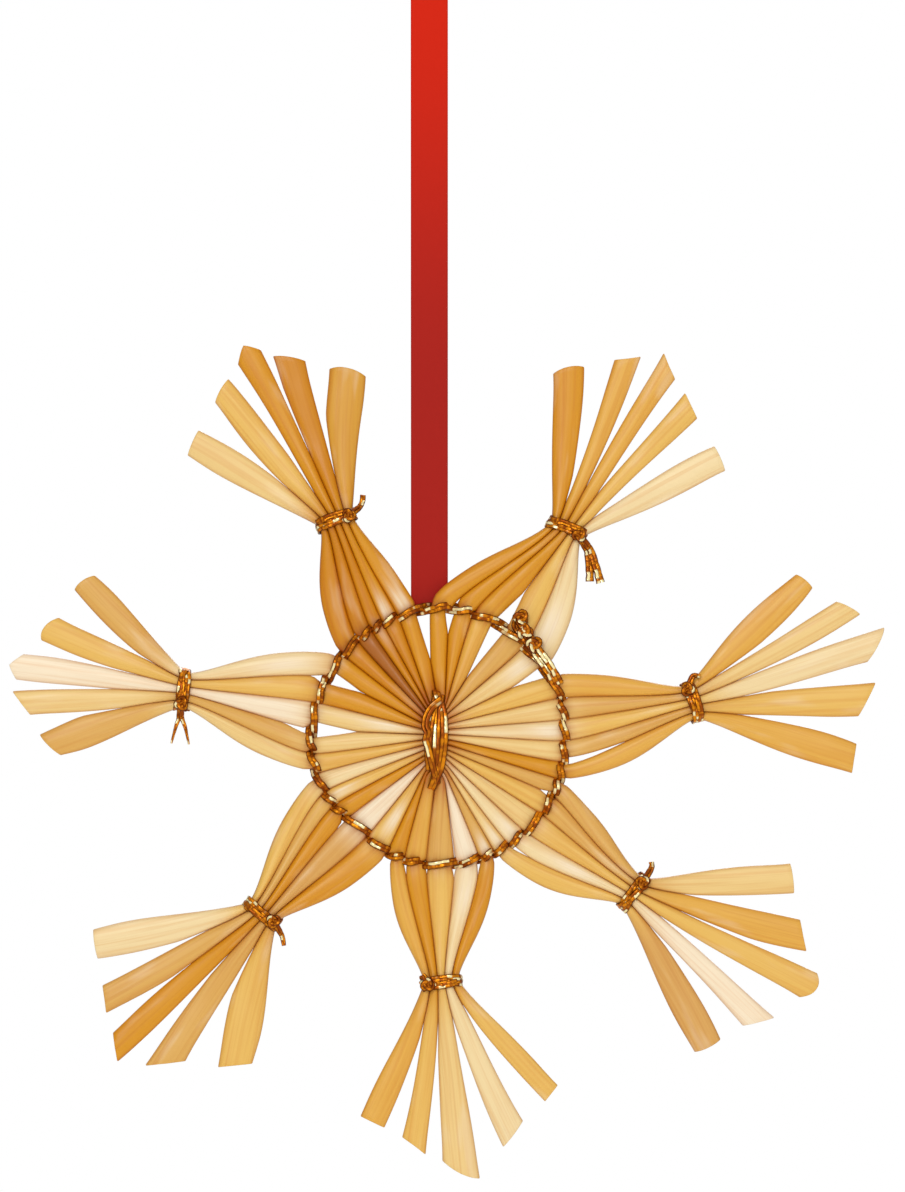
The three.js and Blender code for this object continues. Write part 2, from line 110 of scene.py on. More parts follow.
# A cut end's open mouth: wall thickness, how much faster it narrows than it flattens, and its rings
# from deep inside to the lip, as walls in from the skin and distance back.
STRAW_WALL, MOUTH_NARROWING = 0.14, 1.6
MOUTH = [(1.3, 2.6), (1, 0.25), (0.7, 0.0), (0.25, -0.02)]
# How far painted shade from a thread reaches on each part of a straw end, outwards from its inner end
# and inwards from its outer end, where it has a thread there.
THREAD_SHADE_OUTWARD, THREAD_SHADE_INWARD = {1: 1.8, 2: 1.0, 3: 1.1}, {0: 0.8, 1: 1.0, 2: 1.1}
# Stations on each part of a straw end, from hub to tip, and where the last one is.
PART_STATIONS, LAST_STATION = (5, 20, 24, 26), 0.995
# The binding: turns, clearance, how far its strands spread and pair up; half the height of its first
# turns and of its last, how far it wraps over the stack's top, its lean; its stations, taper, girth,
# the stretch of its painted glints, and the girth of its loose end's tip.
BINDING_TURNS, BINDING_CLEAR, BINDING_SPREAD, BINDING_PAIR = 3, 0.33, 0.84, 0.24
BINDING_SHORT, BINDING_TALL, BINDING_WRAP, BINDING_LEAN = 4.6, 5.06, 1.15, 0.05
BINDING_STATIONS, BINDING_TAPER = (-3.2, -1.6, 0.0, 1.6, 3.2), 5.2
BINDING_GIRTH, BINDING_STRETCH, STRAND_TIP = 1.2, 2.5, 0.8
# The binding's loose end, laid back over its left side, as x, z and back.
BINDING_STRAND = [(0.1, 4.1, -1.7), (-0.95, 3.2, -1.95), (-1.5, 2.2, -2.05), (-1.65, 1.2, -2.15),
                  (-1.4, 0.5, -2.25), (-1.6, -0.3, -2.2), (-1.3, -1.4, -2.15), (-1.0, -2.5, -2.05),
                  (-0.55, -4.2, -1.7)]
# How strongly each part of a straw keeps its direction at its two ends.
PULL_HUB, PULL_INSIDE, PULL_OUTSIDE, PULL_BLADE = (1.1, 0.5), (0.6, 0.35), (0.62, 0.5), (0.35, 0.75)
# How strongly painted glints show on each thread, and how far its strips sway.
TIE_GLINT, TAIL_GLINT, BINDING_GLINT, STRAND_GLINT, THREAD_SWAY = -0.05, -0.02, -0.045, -0.03, 2.4

# Where each straw end crosses the ring: bearings in degrees clockwise from the top, from and to.
CROSSINGS = [
    (-5, 3.5), (7, 13.5), (14.5, 25.5), (31, 41), (42, 57),
    (61, 72), (73.5, 81), (83, 91), (92, 101), (103, 109.5),
    (110, 116), (118, 126.5), (127, 139), (140, 147), (147.5, 155),
    (155.5, 161), (162, 171), (173, 188), (188.5, 196.5), (197, 203),
    (204, 215.5), (216, 230.5), (231, 237), (237.5, 244), (244.5, 252.5),
    (255, 262.5), (263.5, 269.5), (275.5, 285), (285.5, 296), (301, 309),
    (309.5, 320), (320.5, 327.5), (327.5, 332.5), (332.5, 340), (340, 350),
]

# See-through gaps after a straw end, clockwise: where the gap closes, as a distance from the middle.
INNER_GAPS = {0: 11.2, 2: 7.2, 4: 9.6, 10: 12.2, 26: 9.0, 28: 9.7, 34: 8.4}
OUTER_GAPS = {2: 18.4, 8: 20.3, 13: 16.2, 15: 15.4, 16: 15.2, 17: 15.0, 18: 15.4, 28: 14.9}

# Each ray: name, its tie's bearing, distance and lean off square, the side of its knot, its tails
# and its five straw ends in clockwise order.
# A tail: its girth at the tip, and its points as sideways, outward and back from the tie's middle.
# A straw end: x, z and width of its cut end, how far the cut slants, how far the straw bows between
# ring and tie and beyond the tie, the straw's tone, and how round its cut end is.
RAYS = [
    ("upper_right", 31.3, 26.3, 4, 1, [
        (1.25, [(2.9, -1, -0.5), (3.8, -2.1, -0.5), (4.8, -3.9, -0.5)]),
        (1.25, [(3.2, -0.8, -0.5), (4.3, -1.8, -0.5), (5.9, -3.5, -0.5)])], [
        (13.8, 40, 3.3, 0.7, 0.4, 0, "amber", 0.35), (20.3, 40.9, 2.6, 1.2, 0, 0, "honey", 0),
        (24.7, 40.1, 2.6, -1.7, 0, -0.1, "honey", 0), (27.1, 35.8, 2.8, -1, 0, 0, "gold", 0),
        (30.3, 30.1, 3, 0, 0.35, 0.2, "cream", 0.1)]),
    ("right", 82.1, 27.5, 13, -1, [(0.7, [(2.6, 1, -1.5), (2.3, 1.7, -1.7)])], [
        (39.4, 17, 2.3, 0.1, 0, -0.15, "honey", 0.15), (44.3, 14, 2.5, 1.4, 0, 0, "straw", 0.2),
        (47.4, 10.1, 3.1, -2.8, 0, 0, "cream", 0.35), (46.2, 4.1, 3.5, -1.9, 0, 0.1, "gold", 0.1),
        (44.7, -2.4, 3.2, 0.6, 0.3, 0.1, "honey", 0)]),
    ("lower_right", 128.8, 26.8, -2, -1, [(0.8, [(3.3, -0.3, -0.9), (3.7, -0.7, -1.2)])], [
        (38.1, -15.2, 3.3, 0, 0.45, -0.1, "straw", 0.1),
        (39.2, -21.5, 3.1, 1.4, 0.2, 0.1, "honey", 0),
        (40.6, -27.3, 3.3, -0.5, 0, 0.1, "gold", 0.9), (34.5, -30.8, 3, -1.7, 0, 0.1, "pale", 0.1),
        (28.9, -33.6, 3.1, 0, 0.5, 0, "bark", 0.2)]),
    ("bottom", 179.8, 26.5, 7, 1, [(0.7, [(1.7, -0.8, -1.95), (1.9, -1.1, -1.9)])], [
        (12, -38.5, 2.3, 0.2, -0.2, -0.1, "gold", 0), (7.9, -43, 3.1, 1.5, 0, 0, "cream", 0.1),
        (2.2, -47.2, 3.9, -2.3, 0, -0.1, "straw", 0.4), (-2.8, -44.2, 2.8, -1.4, 0, 0, "gold", 0),
        (-7.4, -41.6, 2.8, 0, 0.2, -0.1, "honey", 0)]),
    ("lower_left", 225.4, 27.1, 13, -1, [(0.6, [(3.1, 0.9, -0.5), (3.9, 1.7, -0.5)])], [
        (-22.2, -35.5, 3.7, 1, -0.3, 0.1, "gold", 0), (-29.7, -35.3, 3.3, 2.7, 0, 0.2, "tan", 0),
        (-35.2, -33.5, 2.7, -1.6, 0, 0.1, "amber", 0), (-36.3, -28.4, 2.9, -1, 0, 0, "tan", 0),
        (-37.4, -22.4, 3.1, 0, 0, 0, "cream", 0.1)]),
    ("left", 280.4, 28.3, 4, -1, [
        (0.3, [(3, 0.1, -0.5), (4, 0.3, -0.6), (5.9, 0.6, -0.6)]),
        (0.3, [(3, -0.2, -0.5), (4, -0.7, -0.6), (5.8, -1.3, -0.6)])], [
        (-42.4, -0.9, 3, 1.2, 0, 0, "tan", 0.2), (-45.3, 3.6, 2.7, 1.6, 0, -0.1, "straw", 0),
        (-46.6, 7.8, 2.8, -0.4, 0, 0, "pale", 1.1), (-42.8, 11.9, 3.1, -0.7, 0, 0, "gold", 0.6),
        (-38.7, 16.9, 2.6, -0.3, 0.2, 0, "tan", 0.3)]),
    ("upper_left", 334.2, 26, -6, 1, [(0.8, [(3.1, 0.6, -0.5), (3.7, 1.6, -0.5)])], [
        (-26.8, 31.9, 3, 0.2, -0.4, -0.25, "straw", 0.1),
        (-23.8, 37.5, 2.8, 0.9, 0, -0.25, "gold", 0.15),
        (-21.3, 42.3, 2.85, 0.2, 0, 0, "amber", 1.35), (-16.4, 41.1, 3.3, -1.5, 0, -0.2, "rust", 0.2),
        (-10.1, 39.9, 3.9, -0.6, -0.3, -0.3, "ochre", 0.5)]),
]

# The ribbon, as back and up from the origin: place, width, thickness and lower end; where its two
# ends lie and how far apart, and the half width and height of its loop.
RIBBON_X, RIBBON_WIDTH, RIBBON_THICK, RIBBON_END = 0.0, 4.0, 0.3, -70.1
RIBBON_BACK, RIBBON_PART, RIBBON_LOOP, RIBBON_BEND = 1.5, 0.3, 3.0, 3.0
# Its section: the web's share of the thickness; how much prouder the selvedge is, where it starts in
# from the edge and how wide it rises; how far the edge drops and over what width; columns and step.
RIBBON_WEB, SELVEDGE_PROUD, SELVEDGE_IN, SELVEDGE_RISE = 0.72, 0.28, 0.34, 0.16
EDGE_DROP, EDGE_IN, RIBBON_COLUMNS, RIBBON_STEP = 0.3, 0.1, 16, 0.6

# The middle of the view from the ring's middle; in metres, the floor's height and radius, and its
# sides; and the lights: place from the middle of the view, size, and share of the key light's power.
VIEW_X, VIEW_Z, FLOOR_HEIGHT, FLOOR_RADIUS, FLOOR_SIDES = 1.3, 15.24, -0.26, 0.6, 64
LIGHTS = [
    ("key_light", (-0.14, -0.92, 0.26), 0.36, 1.0), ("fill_light", (0.45, -0.6, 0.0), 0.6, 0.2),
    ("back_light", (0.15, 0.7, 0.35), 0.5, 0.6), ("top_light", (0, 0.1, 1.1), 1.2, 1.0),
]


def rgb(code):
    """A colour written as a six-figure hex string, as linear light."""
    values = [int(code[i:i + 2], 16) / 255 for i in (0, 2, 4)]
    return tuple(v / 12.92 if v <= 0.04045 else ((v + 0.055) / 1.055) ** 2.4 for v in values)


# The straws' own colours, from bleached to sun-browned.
TONES = {
    "pale": rgb("F8E5C6"), "cream": rgb("F2D8A2"), "straw": rgb("EECB84"), "gold": rgb("E9BA5C"),
    "tan": rgb("DEAB56"), "honey": rgb("E4AC46"), "amber": rgb("D99414"), "rust": rgb("D08606"),
    "bark": rgb("DAA556"), "umber": rgb("AC6418"), "ochre": rgb("D89C30"),
}
# Each end's tone inside the ring and between ring and tie, in clockwise order.
# End 21's pale tone inside the ring is partly a painted highlight.
INNER_TONES = (
    "amber amber honey tan straw gold straw cream straw amber tan gold straw cream straw tan pale "
    "tan honey amber gold pale amber gold cream gold straw straw amber amber rust umber rust rust amber"
).split()
RAY_TONES = (
    "amber amber amber gold cream honey tan gold tan honey tan tan gold cream gold amber cream gold "
    "amber honey amber bark amber tan gold straw tan pale gold cream rust rust rust amber amber"
).split()

# Painted highlights, pale sheen painted into the colour: the straw end, the part of its route and how far
# along that part.
PAINTED_SHEEN_LENGTH = 0.16
PAINTED_SHEEN_PATCHES = [
    (4, 1, 0.75), (4, 2, 0.3), (7, 1, 0.8), (13, 1, 0.8), (14, 1, 0.82), (15, 1, 0.85), (16, 1, 0.8),
    (16, 2, 0.3), (20, 1, 0.6), (21, 1, 0.84), (23, 1, 0.8), (27, 1, 0.35), (27, 2, 0.3), (27, 2, 0.6),
    (29, 2, 0.35), (34, 2, 0.14), (33, 2, 0.1), (13, 2, 0.5),
]

# ---- plane geometry: points are (x, z) from the ring's middle ----


def at(bearing, r):
    a = math.radians(bearing)
    return Vector((r * math.sin(a), r * math.cos(a)))


def mix(a, b, k):
    return a + (b - a) * k


def clamp(u):
    return max(0.0, min(1.0, u))


def ease(u):
    u = clamp(u)
    return u * u * (3 - 2 * u)


def over(u, start, length):
    """Eases from 0 to 1 over a stretch of a part."""
    return ease((u - start) / length)


def clockwise(t):
    return Vector((t.y, -t.x))


def hump(u, width):
    """1 at a place, falling away to both sides over a width."""
    return math.exp(-((u / width) ** 2))


def ring_radius(bearing):
    """The ring is pulled in where its thread was drawn tight."""
    b = bearing % 360
    return sum((far * hump(b - middle, spread) for middle, spread, far in RING_DENTS), RING_RADIUS)


def spread_along(curve, count):
    """Points spread evenly by length along a curve given as f(0..1)."""
    steps = 400
    points = [curve(i / steps) for i in range(steps + 1)]
    sums = [0.0]
    for a, b in zip(points, points[1:]):
        sums.append(sums[-1] + (b - a).length)
    found = []
    i = 1
    for n in range(count):
        want = sums[-1] * n / (count - 1)
        while i < steps and sums[i] < want:
            i += 1
        k = (want - sums[i - 1]) / (sums[i] - sums[i - 1])
        found.append(points[i - 1].lerp(points[i], k))
    return found


def knee_curve(u):
    a = math.radians(mix(KNEE_START, 180 - KNEE_START, u))
    return Vector((KNEE_INNER + KNEE_OUT * math.sin(a), KNEE_TALL * math.cos(a)))


KNEES = spread_along(knee_curve, STRAWS)


class StrawEnd:
    """One end of a straw: hub, knee, ring, tie and tip, joined by smooth curves."""

    def __init__(self, number):
        self.number = number
        self.straw = number if number < STRAWS else LAST_END - number
        self.side = 1 if number < STRAWS else -1
        _, tie_bearing, reach, lean, _, _, fan = RAYS[number // ENDS_PER_RAY]
        self.slot = number % ENDS_PER_RAY - 2
        x, z, self.width, self.cut, bow, curl, self.tone, self.round = fan[self.slot + 2]
        start, stop = CROSSINGS[number]
        self.bearing = (start + stop) / 2
        radius = ring_radius(self.bearing)
        hub = Vector((STACK_X, STACK_Z - STACK_PITCH * self.from_middle()))
        knee = Vector((STACK_X + self.side * KNEES[self.straw].x, STACK_Z + KNEES[self.straw].y))
        ring = at(self.bearing, radius)
        axis = at(tie_bearing, 1)
        tie = at(tie_bearing, reach) + at(tie_bearing - lean + 90, 1) * (self.slot * TIE_PITCH)
        tip = Vector((x, z))
        inward = (ring - knee).normalized()
        outward = (tie - ring).normalized()
        blade = (tip - tie).normalized()
        # Where two parts meet, the straw's direction lies between theirs.
        at_ring = (inward * 0.6 + outward * 0.4).normalized()
        at_tie = (outward + blade * 0.9 + axis * 0.4).normalized()
        at_tip = (blade + (blade - at_tie) * 0.22).normalized()
        self.arc = math.radians(stop - start) / 2 * radius
        self.ring_half = max(0.2, self.arc - RING_GAP / 2)
        self.ring_depth = RING_DEPTH + 0.06 * (number * 7 % 3)
        self.parts = [
            (hub, knee, Vector((self.side, 0)), inward, PULL_HUB, 0),
            (knee, ring, inward, at_ring, PULL_INSIDE, 0),
            (ring, tie, at_ring, at_tie, PULL_OUTSIDE, bow),
            (tie, tip, at_tie, at_tip, PULL_BLADE, curl),
        ]
        self.line = [self.on_part(0, 0)[0]]
        self.line += [self.on_part(n, s / 24)[0] for n in range(4) for s in range(1, 25)]

    def from_middle(self):
        return self.straw - (STRAWS - 1) / 2

    def on_part(self, n, u):
        """Place and direction on part n: a Hermite curve, pushed smoothly to the clockwise side."""
        a, b, leave, arrive, pull, bow = self.parts[n]
        span = (b - a).length
        u2, u3 = u * u, u * u * u
        near, far = span * pull[0], span * pull[1]
        place = (a * (2 * u3 - 3 * u2 + 1) + b * (3 * u2 - 2 * u3)
                 + leave * (u3 - 2 * u2 + u) * near + arrive * (u3 - u2) * far)
        heading = ((b - a) * (6 * u - 6 * u2) + leave * (3 * u2 - 4 * u + 1) * near
                   + arrive * (3 * u2 - 2 * u) * far)
        aside = clockwise((b - a).normalized())
        place += aside * (bow * 16 * (u * (1 - u)) ** 2)
        heading += aside * (bow * 32 * u * (1 - u) * (1 - 2 * u))
        return place, heading.normalized()

    def size(self, n, u):
        """Half width with no neighbours, and depth, at a place on part n."""
        full = self.width / 2
        hub_depth = STACK_DEPTH * math.sqrt(1 - (self.from_middle() / STACK_SWELL) ** 2)
        knee_depth = hub_depth * KNEE_FLAT
        tie_depth = TIE_DEPTH * math.sqrt(1 - (self.slot / TIE_SWELL) ** 2)
        if n == 0:
            return mix(STACK_HALF, KNEE_HALF, u), mix(hub_depth, knee_depth, u)
        if n == 1:
            petal = 1 + STRAW_PETAL * math.sin(math.pi * clamp(1.02 * u * u))
            fanned = min(KNEE_HALF + STRAW_OPENING * u, self.arc * 1.02)
            half = mix(fanned, self.ring_half, over(u, *BEFORE_RING)) * petal
            shoulder = mix(knee_depth, STRAW_SHOULDER, over(u, 0, 0.75))
            return half, mix(shoulder, self.ring_depth, over(u, 0.78, 0.22))
        if n == 2:
            shut = over(u, 0.35, 0.65)
            wide = mix(self.arc, max(self.arc, min(STRAW_BELLY, full)), over(u, 0, 0.6))
            half = mix(mix(self.ring_half, wide, over(u, *AFTER_RING)), TIE_HALF, shut)
            return half, mix(mix(self.ring_depth, STRAW_FLAT, over(u, 0, 0.16)), tie_depth, shut)
        opened = (1 - (1 - clamp(u / BLADE_OPEN)) ** 2 + over(u, 0, BLADE_OPEN)) / 2
        belly = BLADE_BELLIES.get(self.number, 0.0) * math.sin(math.pi * u)
        return mix(TIE_HALF, full + belly, opened), mix(tie_depth, STRAW_CUT, over(u, 0, 0.6))


ENDS = [StrawEnd(j) for j in range(ENDS_COUNT)]


def distance_to_line(p, line):
    best = 1e9
    for a, b in zip(line, line[1:]):
        d = b - a
        k = clamp((p - a).dot(d) / d.dot(d))
        best = min(best, (p - a - d * k).length)
    return best


def section(end, n, u):
    """A straw's section: place, direction, half widths clockwise and counter-clockwise, depth. Each
    half width is the straw's own, or as much as its neighbour there leaves room for."""
    place, heading = end.on_part(n, u)
    half, depth = end.size(n, u)

    def room(step):
        other = ENDS[(end.number + step) % ENDS_COUNT]
        space = distance_to_line(place, other.line) / 2 + STRAW_LAP / 2
        gap = open_gap(n, place, end.number if step == 1 else other.number)
        crowded = n < 2 or other.number // ENDS_PER_RAY == end.number // ENDS_PER_RAY
        notch = (0, over(u, *BEFORE_RING), 1 - over(u, *AFTER_RING), over(u, 0, BLADE_FORK))[n]
        swell = (CROWD_SWELL, mix(CROWD_SWELL, FREE_SWELL, over(u, 0, 0.25)), FREE_SWELL, FREE_SWELL)[n]
        full = half * (1 + swell * (1 - notch)) if crowded else half
        if n == 3:
            wave = math.sin(EDGE_RADIANS * u + PHASE * end.number + step)
            full *= 1 + EDGE_WAVE * over(u, 0, 0.3) * wave
        return max(STACK_HALF * 0.9, min(full, space - gap / 2))

    return place, heading, room(1), room(-1), depth


def open_gap(n, place, before):
    """Width of the see-through gap that follows an end, clockwise, at a place in or out of the ring."""
    radius = ring_radius(ENDS[before].bearing)
    closes = {1: INNER_GAPS, 2: OUTER_GAPS}.get(n, {}).get(before)
    if closes is None:
        return 0.0
    start, stop = CROSSINGS[before][1], CROSSINGS[(before + 1) % ENDS_COUNT][0]
    mouth = math.radians((stop - start) % 360) * radius + 0.25 + 2 * STRAW_LAP
    return mouth * clamp((place.length - closes) / (radius - closes))


def thread_shade_at(end, n, u):
    """How much painted shade the threads that cross it put on the straw, within a millimetre or two of
    each.
    """
    a, b = end.parts[n][:2]
    length = (b - a).length
    near = 1.0 if n == 0 else hump(length * u, THREAD_SHADE_OUTWARD[n])
    far = 0.0 if n == 3 else hump(length * (1 - u), THREAD_SHADE_INWARD[n])
    return max(near, far)


def squeeze(n, u):
    """How hard the straw is pinched there: 1 at the binding, the ring and the tie, 0 where free. It sets
    how deep the painted crease shade is.
    """
    if n == 0:
        return 1.0
    if n == 1:
        return max(1 - over(u, 0, 0.5), 0.8 * over(u, 0.85, 0.15))
    if n == 2:
        return max(0.8 * (1 - over(u, 0, 0.14)), 0.9 * over(u, 0.6, 0.4))
    return 0.9 * (1 - over(u, 0, 0.3))


# ---- helpers for meshes and node trees ----


def new_object(name, mesh):
    made = bpy.data.objects.new(name, mesh)
    bpy.context.scene.collection.objects.link(made)
    return made


def new_mesh(name, points, edges, faces):
    made = bpy.data.meshes.new(name)
    made.from_pydata(points, edges, faces)
    return made


ATTRIBUTE_KINDS = {1: ("FLOAT", "value"), 3: ("FLOAT_VECTOR", "vector"), 4: ("FLOAT_COLOR", "color")}


def path_mesh(name, splines, **attributes):
    """A mesh of edges only, one chain for each list of points, with point attributes for a tree."""
    points, edges = [], []
    for spline in splines:
        edges += [(len(points) + i, len(points) + i + 1) for i in range(len(spline) - 1)]
        points += [tuple(p) for p in spline]
    mesh = new_mesh(name, points, edges, [])
    for key, values in attributes.items():
        size = 1 if isinstance(values[0], float) else len(values[0])
        kind, field = ATTRIBUTE_KINDS[size]
        flat = values if size == 1 else [c for v in values for c in v]
        mesh.attributes.new(key, kind, "POINT").data.foreach_set(field, flat)
    return mesh


class Value:
    """A node's output that takes part in formulas written with Python's own operators."""

    def __init__(self, tree, socket):
        self.tree, self.socket = tree, socket

    def output(self, key):
        return Value(self.tree, self.socket.node.outputs[key])

    def formula(self, operation, other=0.0):
        return self.tree.math(operation, self, other)

    def __rsub__(self, other):
        return self.tree.math("SUBTRACT", other, self)

    __add__ = partialmethod(formula, "ADD")
    __sub__ = partialmethod(formula, "SUBTRACT")
    __mul__ = partialmethod(formula, "MULTIPLY")
    __pow__ = partialmethod(formula, "POWER")
    __abs__ = partialmethod(formula, "ABSOLUTE")


class Tree:
    """A short way to write a node tree: nodes by type, with inputs filled by name or number."""

    def __init__(self, tree):
        self.tree = tree

    def node(self, kind, inputs=None, output=0, **settings):
        """Makes a node and returns one of its outputs, if it has any."""
        made = self.tree.nodes.new(kind)
        for key, value in settings.items():
            setattr(made, key, value)
        for key, value in (inputs or {}).items():
            self.fill(made.inputs[key], value)
        return Value(self, made.outputs[output]) if len(made.outputs) else None

    def fill(self, socket, value):
        if isinstance(value, list):
            for one in value:
                self.fill(socket, one)
        elif isinstance(value, Value):
            self.tree.links.new(value.socket, socket)
        else:
            socket.default_value = (*value[:3], 1.0) if socket.type == "RGBA" else value

    def math(self, operation, a, b=0.0):
        return self.node("ShaderNodeMath", {0: a, 1: b}, operation=operation)

    def vector(self, operation, a, b=(0, 0, 0), key=1):
        return self.node("ShaderNodeVectorMath", {0: a, key: b}, operation=operation)

    def moved(self, place, direction, distance):
        """A place moved along a direction."""
        return self.vector("ADD", place, self.vector("SCALE", direction, distance, "Scale"))

    def join(self, x, y=0.0, z=0.0):
        return self.node("ShaderNodeCombineXYZ", {0: x, 1: y, 2: z})

    def noise(self, vector, detail=2.0, roughness=0.5):
        inputs = {"Vector": vector, "Scale": 1.0, "Detail": detail, "Roughness": roughness}
        return self.node("ShaderNodeTexNoise", inputs)

    def grain(self, place, across, along, detail=2.0, roughness=0.5):
        """Noise drawn out over a map: so many marks to one unit across it and along it."""
        return self.noise(self.vector("MULTIPLY", place, (across, along, 1.0)), detail, roughness)

    def ramp(self, value, low, high, to_low=0.0, to_high=1.0):
        inputs = {0: value, 1: low, 2: high, 3: to_low, 4: to_high}
        return self.node("ShaderNodeMapRange", inputs, interpolation_type="SMOOTHSTEP")


class Shader(Tree):
    """The nodes of a new material."""

    def __init__(self, name):
        self.made = bpy.data.materials.new(name)
        self.made.use_nodes = True
        self.made.node_tree.nodes.clear()
        super().__init__(self.made.node_tree)

    def attribute(self, name, output="Fac"):
        return self.node("ShaderNodeAttribute", None, output, attribute_name=name)

    def blend(self, fac, a, b, mode="MIX"):
        inputs = {0: fac, 6: a, 7: b}
        return self.node("ShaderNodeMix", inputs, 2, data_type="RGBA", blend_type=mode, clamp_factor=True)

    def bump(self, height, strength, distance):
        return self.node("ShaderNodeBump", {"Height": height, "Strength": strength, "Distance": distance})

    def finish(self, inputs):
        """Every material ends in one principled surface."""
        self.node("ShaderNodeOutputMaterial", {0: self.node("ShaderNodeBsdfPrincipled", inputs)})
        return self.made


class Geometry(Tree):
    """The nodes of a new geometry tree, with named inputs."""

    KINDS = {"Geometry": "Geometry", "Material": "Material", "Sides": "Int"}

    def __init__(self, name, *labels):
        super().__init__(bpy.data.node_groups.new(name, "GeometryNodeTree"))
        for label in ("Geometry", *labels, "Material"):
            kind = "NodeSocket" + self.KINDS.get(label, "Float")
            self.tree.interface.new_socket(label, in_out="INPUT", socket_type=kind)
        self.tree.interface.new_socket("Geometry", in_out="OUTPUT", socket_type="NodeSocketGeometry")
        self.inputs = self.node("NodeGroupInput")

    def given(self, name):
        return self.inputs.output(name)

    def named(self, name, kind="FLOAT"):
        return self.node("GeometryNodeInputNamedAttribute", {"Name": name}, data_type=kind)

    def store(self, geometry, name, value, kind="FLOAT", domain="POINT"):
        inputs = {"Geometry": geometry, "Name": name, "Value": value}
        return self.node("GeometryNodeStoreNamedAttribute", inputs, data_type=kind, domain=domain)

    def chain(self):
        return self.node("GeometryNodeMeshToCurve", {"Mesh": self.given("Geometry")})

    def rim(self, sides):
        """A round profile whose points remember where they were on it."""
        circle = self.node("GeometryNodeCurvePrimitiveCircle", {"Resolution": sides, "Radius": 1.0})
        return self.store(circle, "rim", self.node("GeometryNodeInputPosition"), "FLOAT_VECTOR")

    def sweep(self, curve, profile):
        """The swept skin, and where each of its points is across and up the profile."""
        inputs = {"Curve": curve, "Profile Curve": profile, "Fill Caps": True}
        skin = self.node("GeometryNodeCurveToMesh", inputs)
        rim = self.node("ShaderNodeSeparateXYZ", {0: self.named("rim", "FLOAT_VECTOR")})
        return skin, rim, rim.output(1)

    def placed(self, skin, place):
        return self.node("GeometryNodeSetPosition", {"Geometry": skin, "Position": place})

    def finish(self, skin):
        """Every tree ends in Realize Instances and Set Material."""
        skin = self.node("GeometryNodeSetShadeSmooth", {"Geometry": skin})
        skin = self.node("GeometryNodeRealizeInstances", {"Geometry": skin})
        inputs = {"Geometry": skin, "Material": self.given("Material")}
        self.node("NodeGroupOutput", {0: self.node("GeometryNodeSetMaterial", inputs)})
        return self.tree


def grow(name, path, tree, **values):
    """Runs a geometry tree on a path and returns the result as a plain mesh object."""
    seed_object = new_object(name + "_path", path)
    modifier = seed_object.modifiers.new("Grow", "NODES")
    modifier.node_group = tree
    sockets = {s.name: s.identifier for s in tree.interface.items_tree if s.in_out == "INPUT"}
    for key, value in values.items():
        modifier[sockets[key.replace("_", " ").title()]] = value
    ready = seed_object.evaluated_get(bpy.context.evaluated_depsgraph_get())
    mesh = bpy.data.meshes.new_from_object(ready)
    bpy.data.objects.remove(seed_object)
    bpy.data.meshes.remove(path)
    mesh.name = name
    return new_object(name, mesh)


# ---- geometry trees ----


def straw_tree():
    """Sweeps a flattened straw along its path, with fibre ribs and dents in its skin."""
    g = Geometry("Flattened Straw", "Sides", "Fibre Height", "Dent Depth", "Seed")
    skin, across, up = g.sweep(g.chain(), g.rim(g.given("Sides")))
    # The skin's points are spread over a flattened section, wider on the side that has more room.
    flat = abs(across) ** 0.82
    side = flat * g.math("SIGN", across)
    clockwise_side = g.math("GREATER_THAN", across, 0.0)
    sideways = side * (g.named("cw") * clockwise_side + g.named("ccw") * (1.0 - clockwise_side))
    along, seed, deep = g.named("along"), g.given("Seed"), g.named("deep")
    # Ribs are 0.2 mm apart and many millimetres long; dents are a millimetre or two across.
    ribs = g.noise(g.join(sideways * 4200.0, along * 45.0, seed))
    dents = g.noise(g.join(sideways * 500.0, along * 160.0, seed))
    relief = (ribs - 0.5) * g.given("Fibre Height") + (dents - 0.5) * g.given("Dent Depth")
    # Deep sections are squarer than thin ones.
    dome = abs(up) ** g.ramp(deep, 0.0006, 0.0014, 0.95, 0.45)
    back = dome * (deep + relief) * g.math("SIGN", up)
    # The cut slants, and its corners are rounded or, where very round, drawn to a point.
    crown = g.named("crown")
    slip = g.named("slant") * side - crown * flat ** g.ramp(crown, 0.00092, 0.0011, 2.2, 1.2)
    place = g.moved(g.named("spine", "FLOAT_VECTOR"), g.named("across", "FLOAT_VECTOR"), sideways)
    place = g.moved(place, g.named("heading", "FLOAT_VECTOR"), slip)
    skin = g.store(g.placed(skin, g.vector("ADD", place, g.join(0.0, back))), "edge", flat)
    # The map is in centimetres, shifted for each straw so that no two are alike.
    shift = seed * 1.37
    map_place = g.join(sideways * 100.0 + shift, along * 100.0 + shift)
    return g.finish(g.store(skin, "UVMap", map_place, "FLOAT2", "CORNER"))


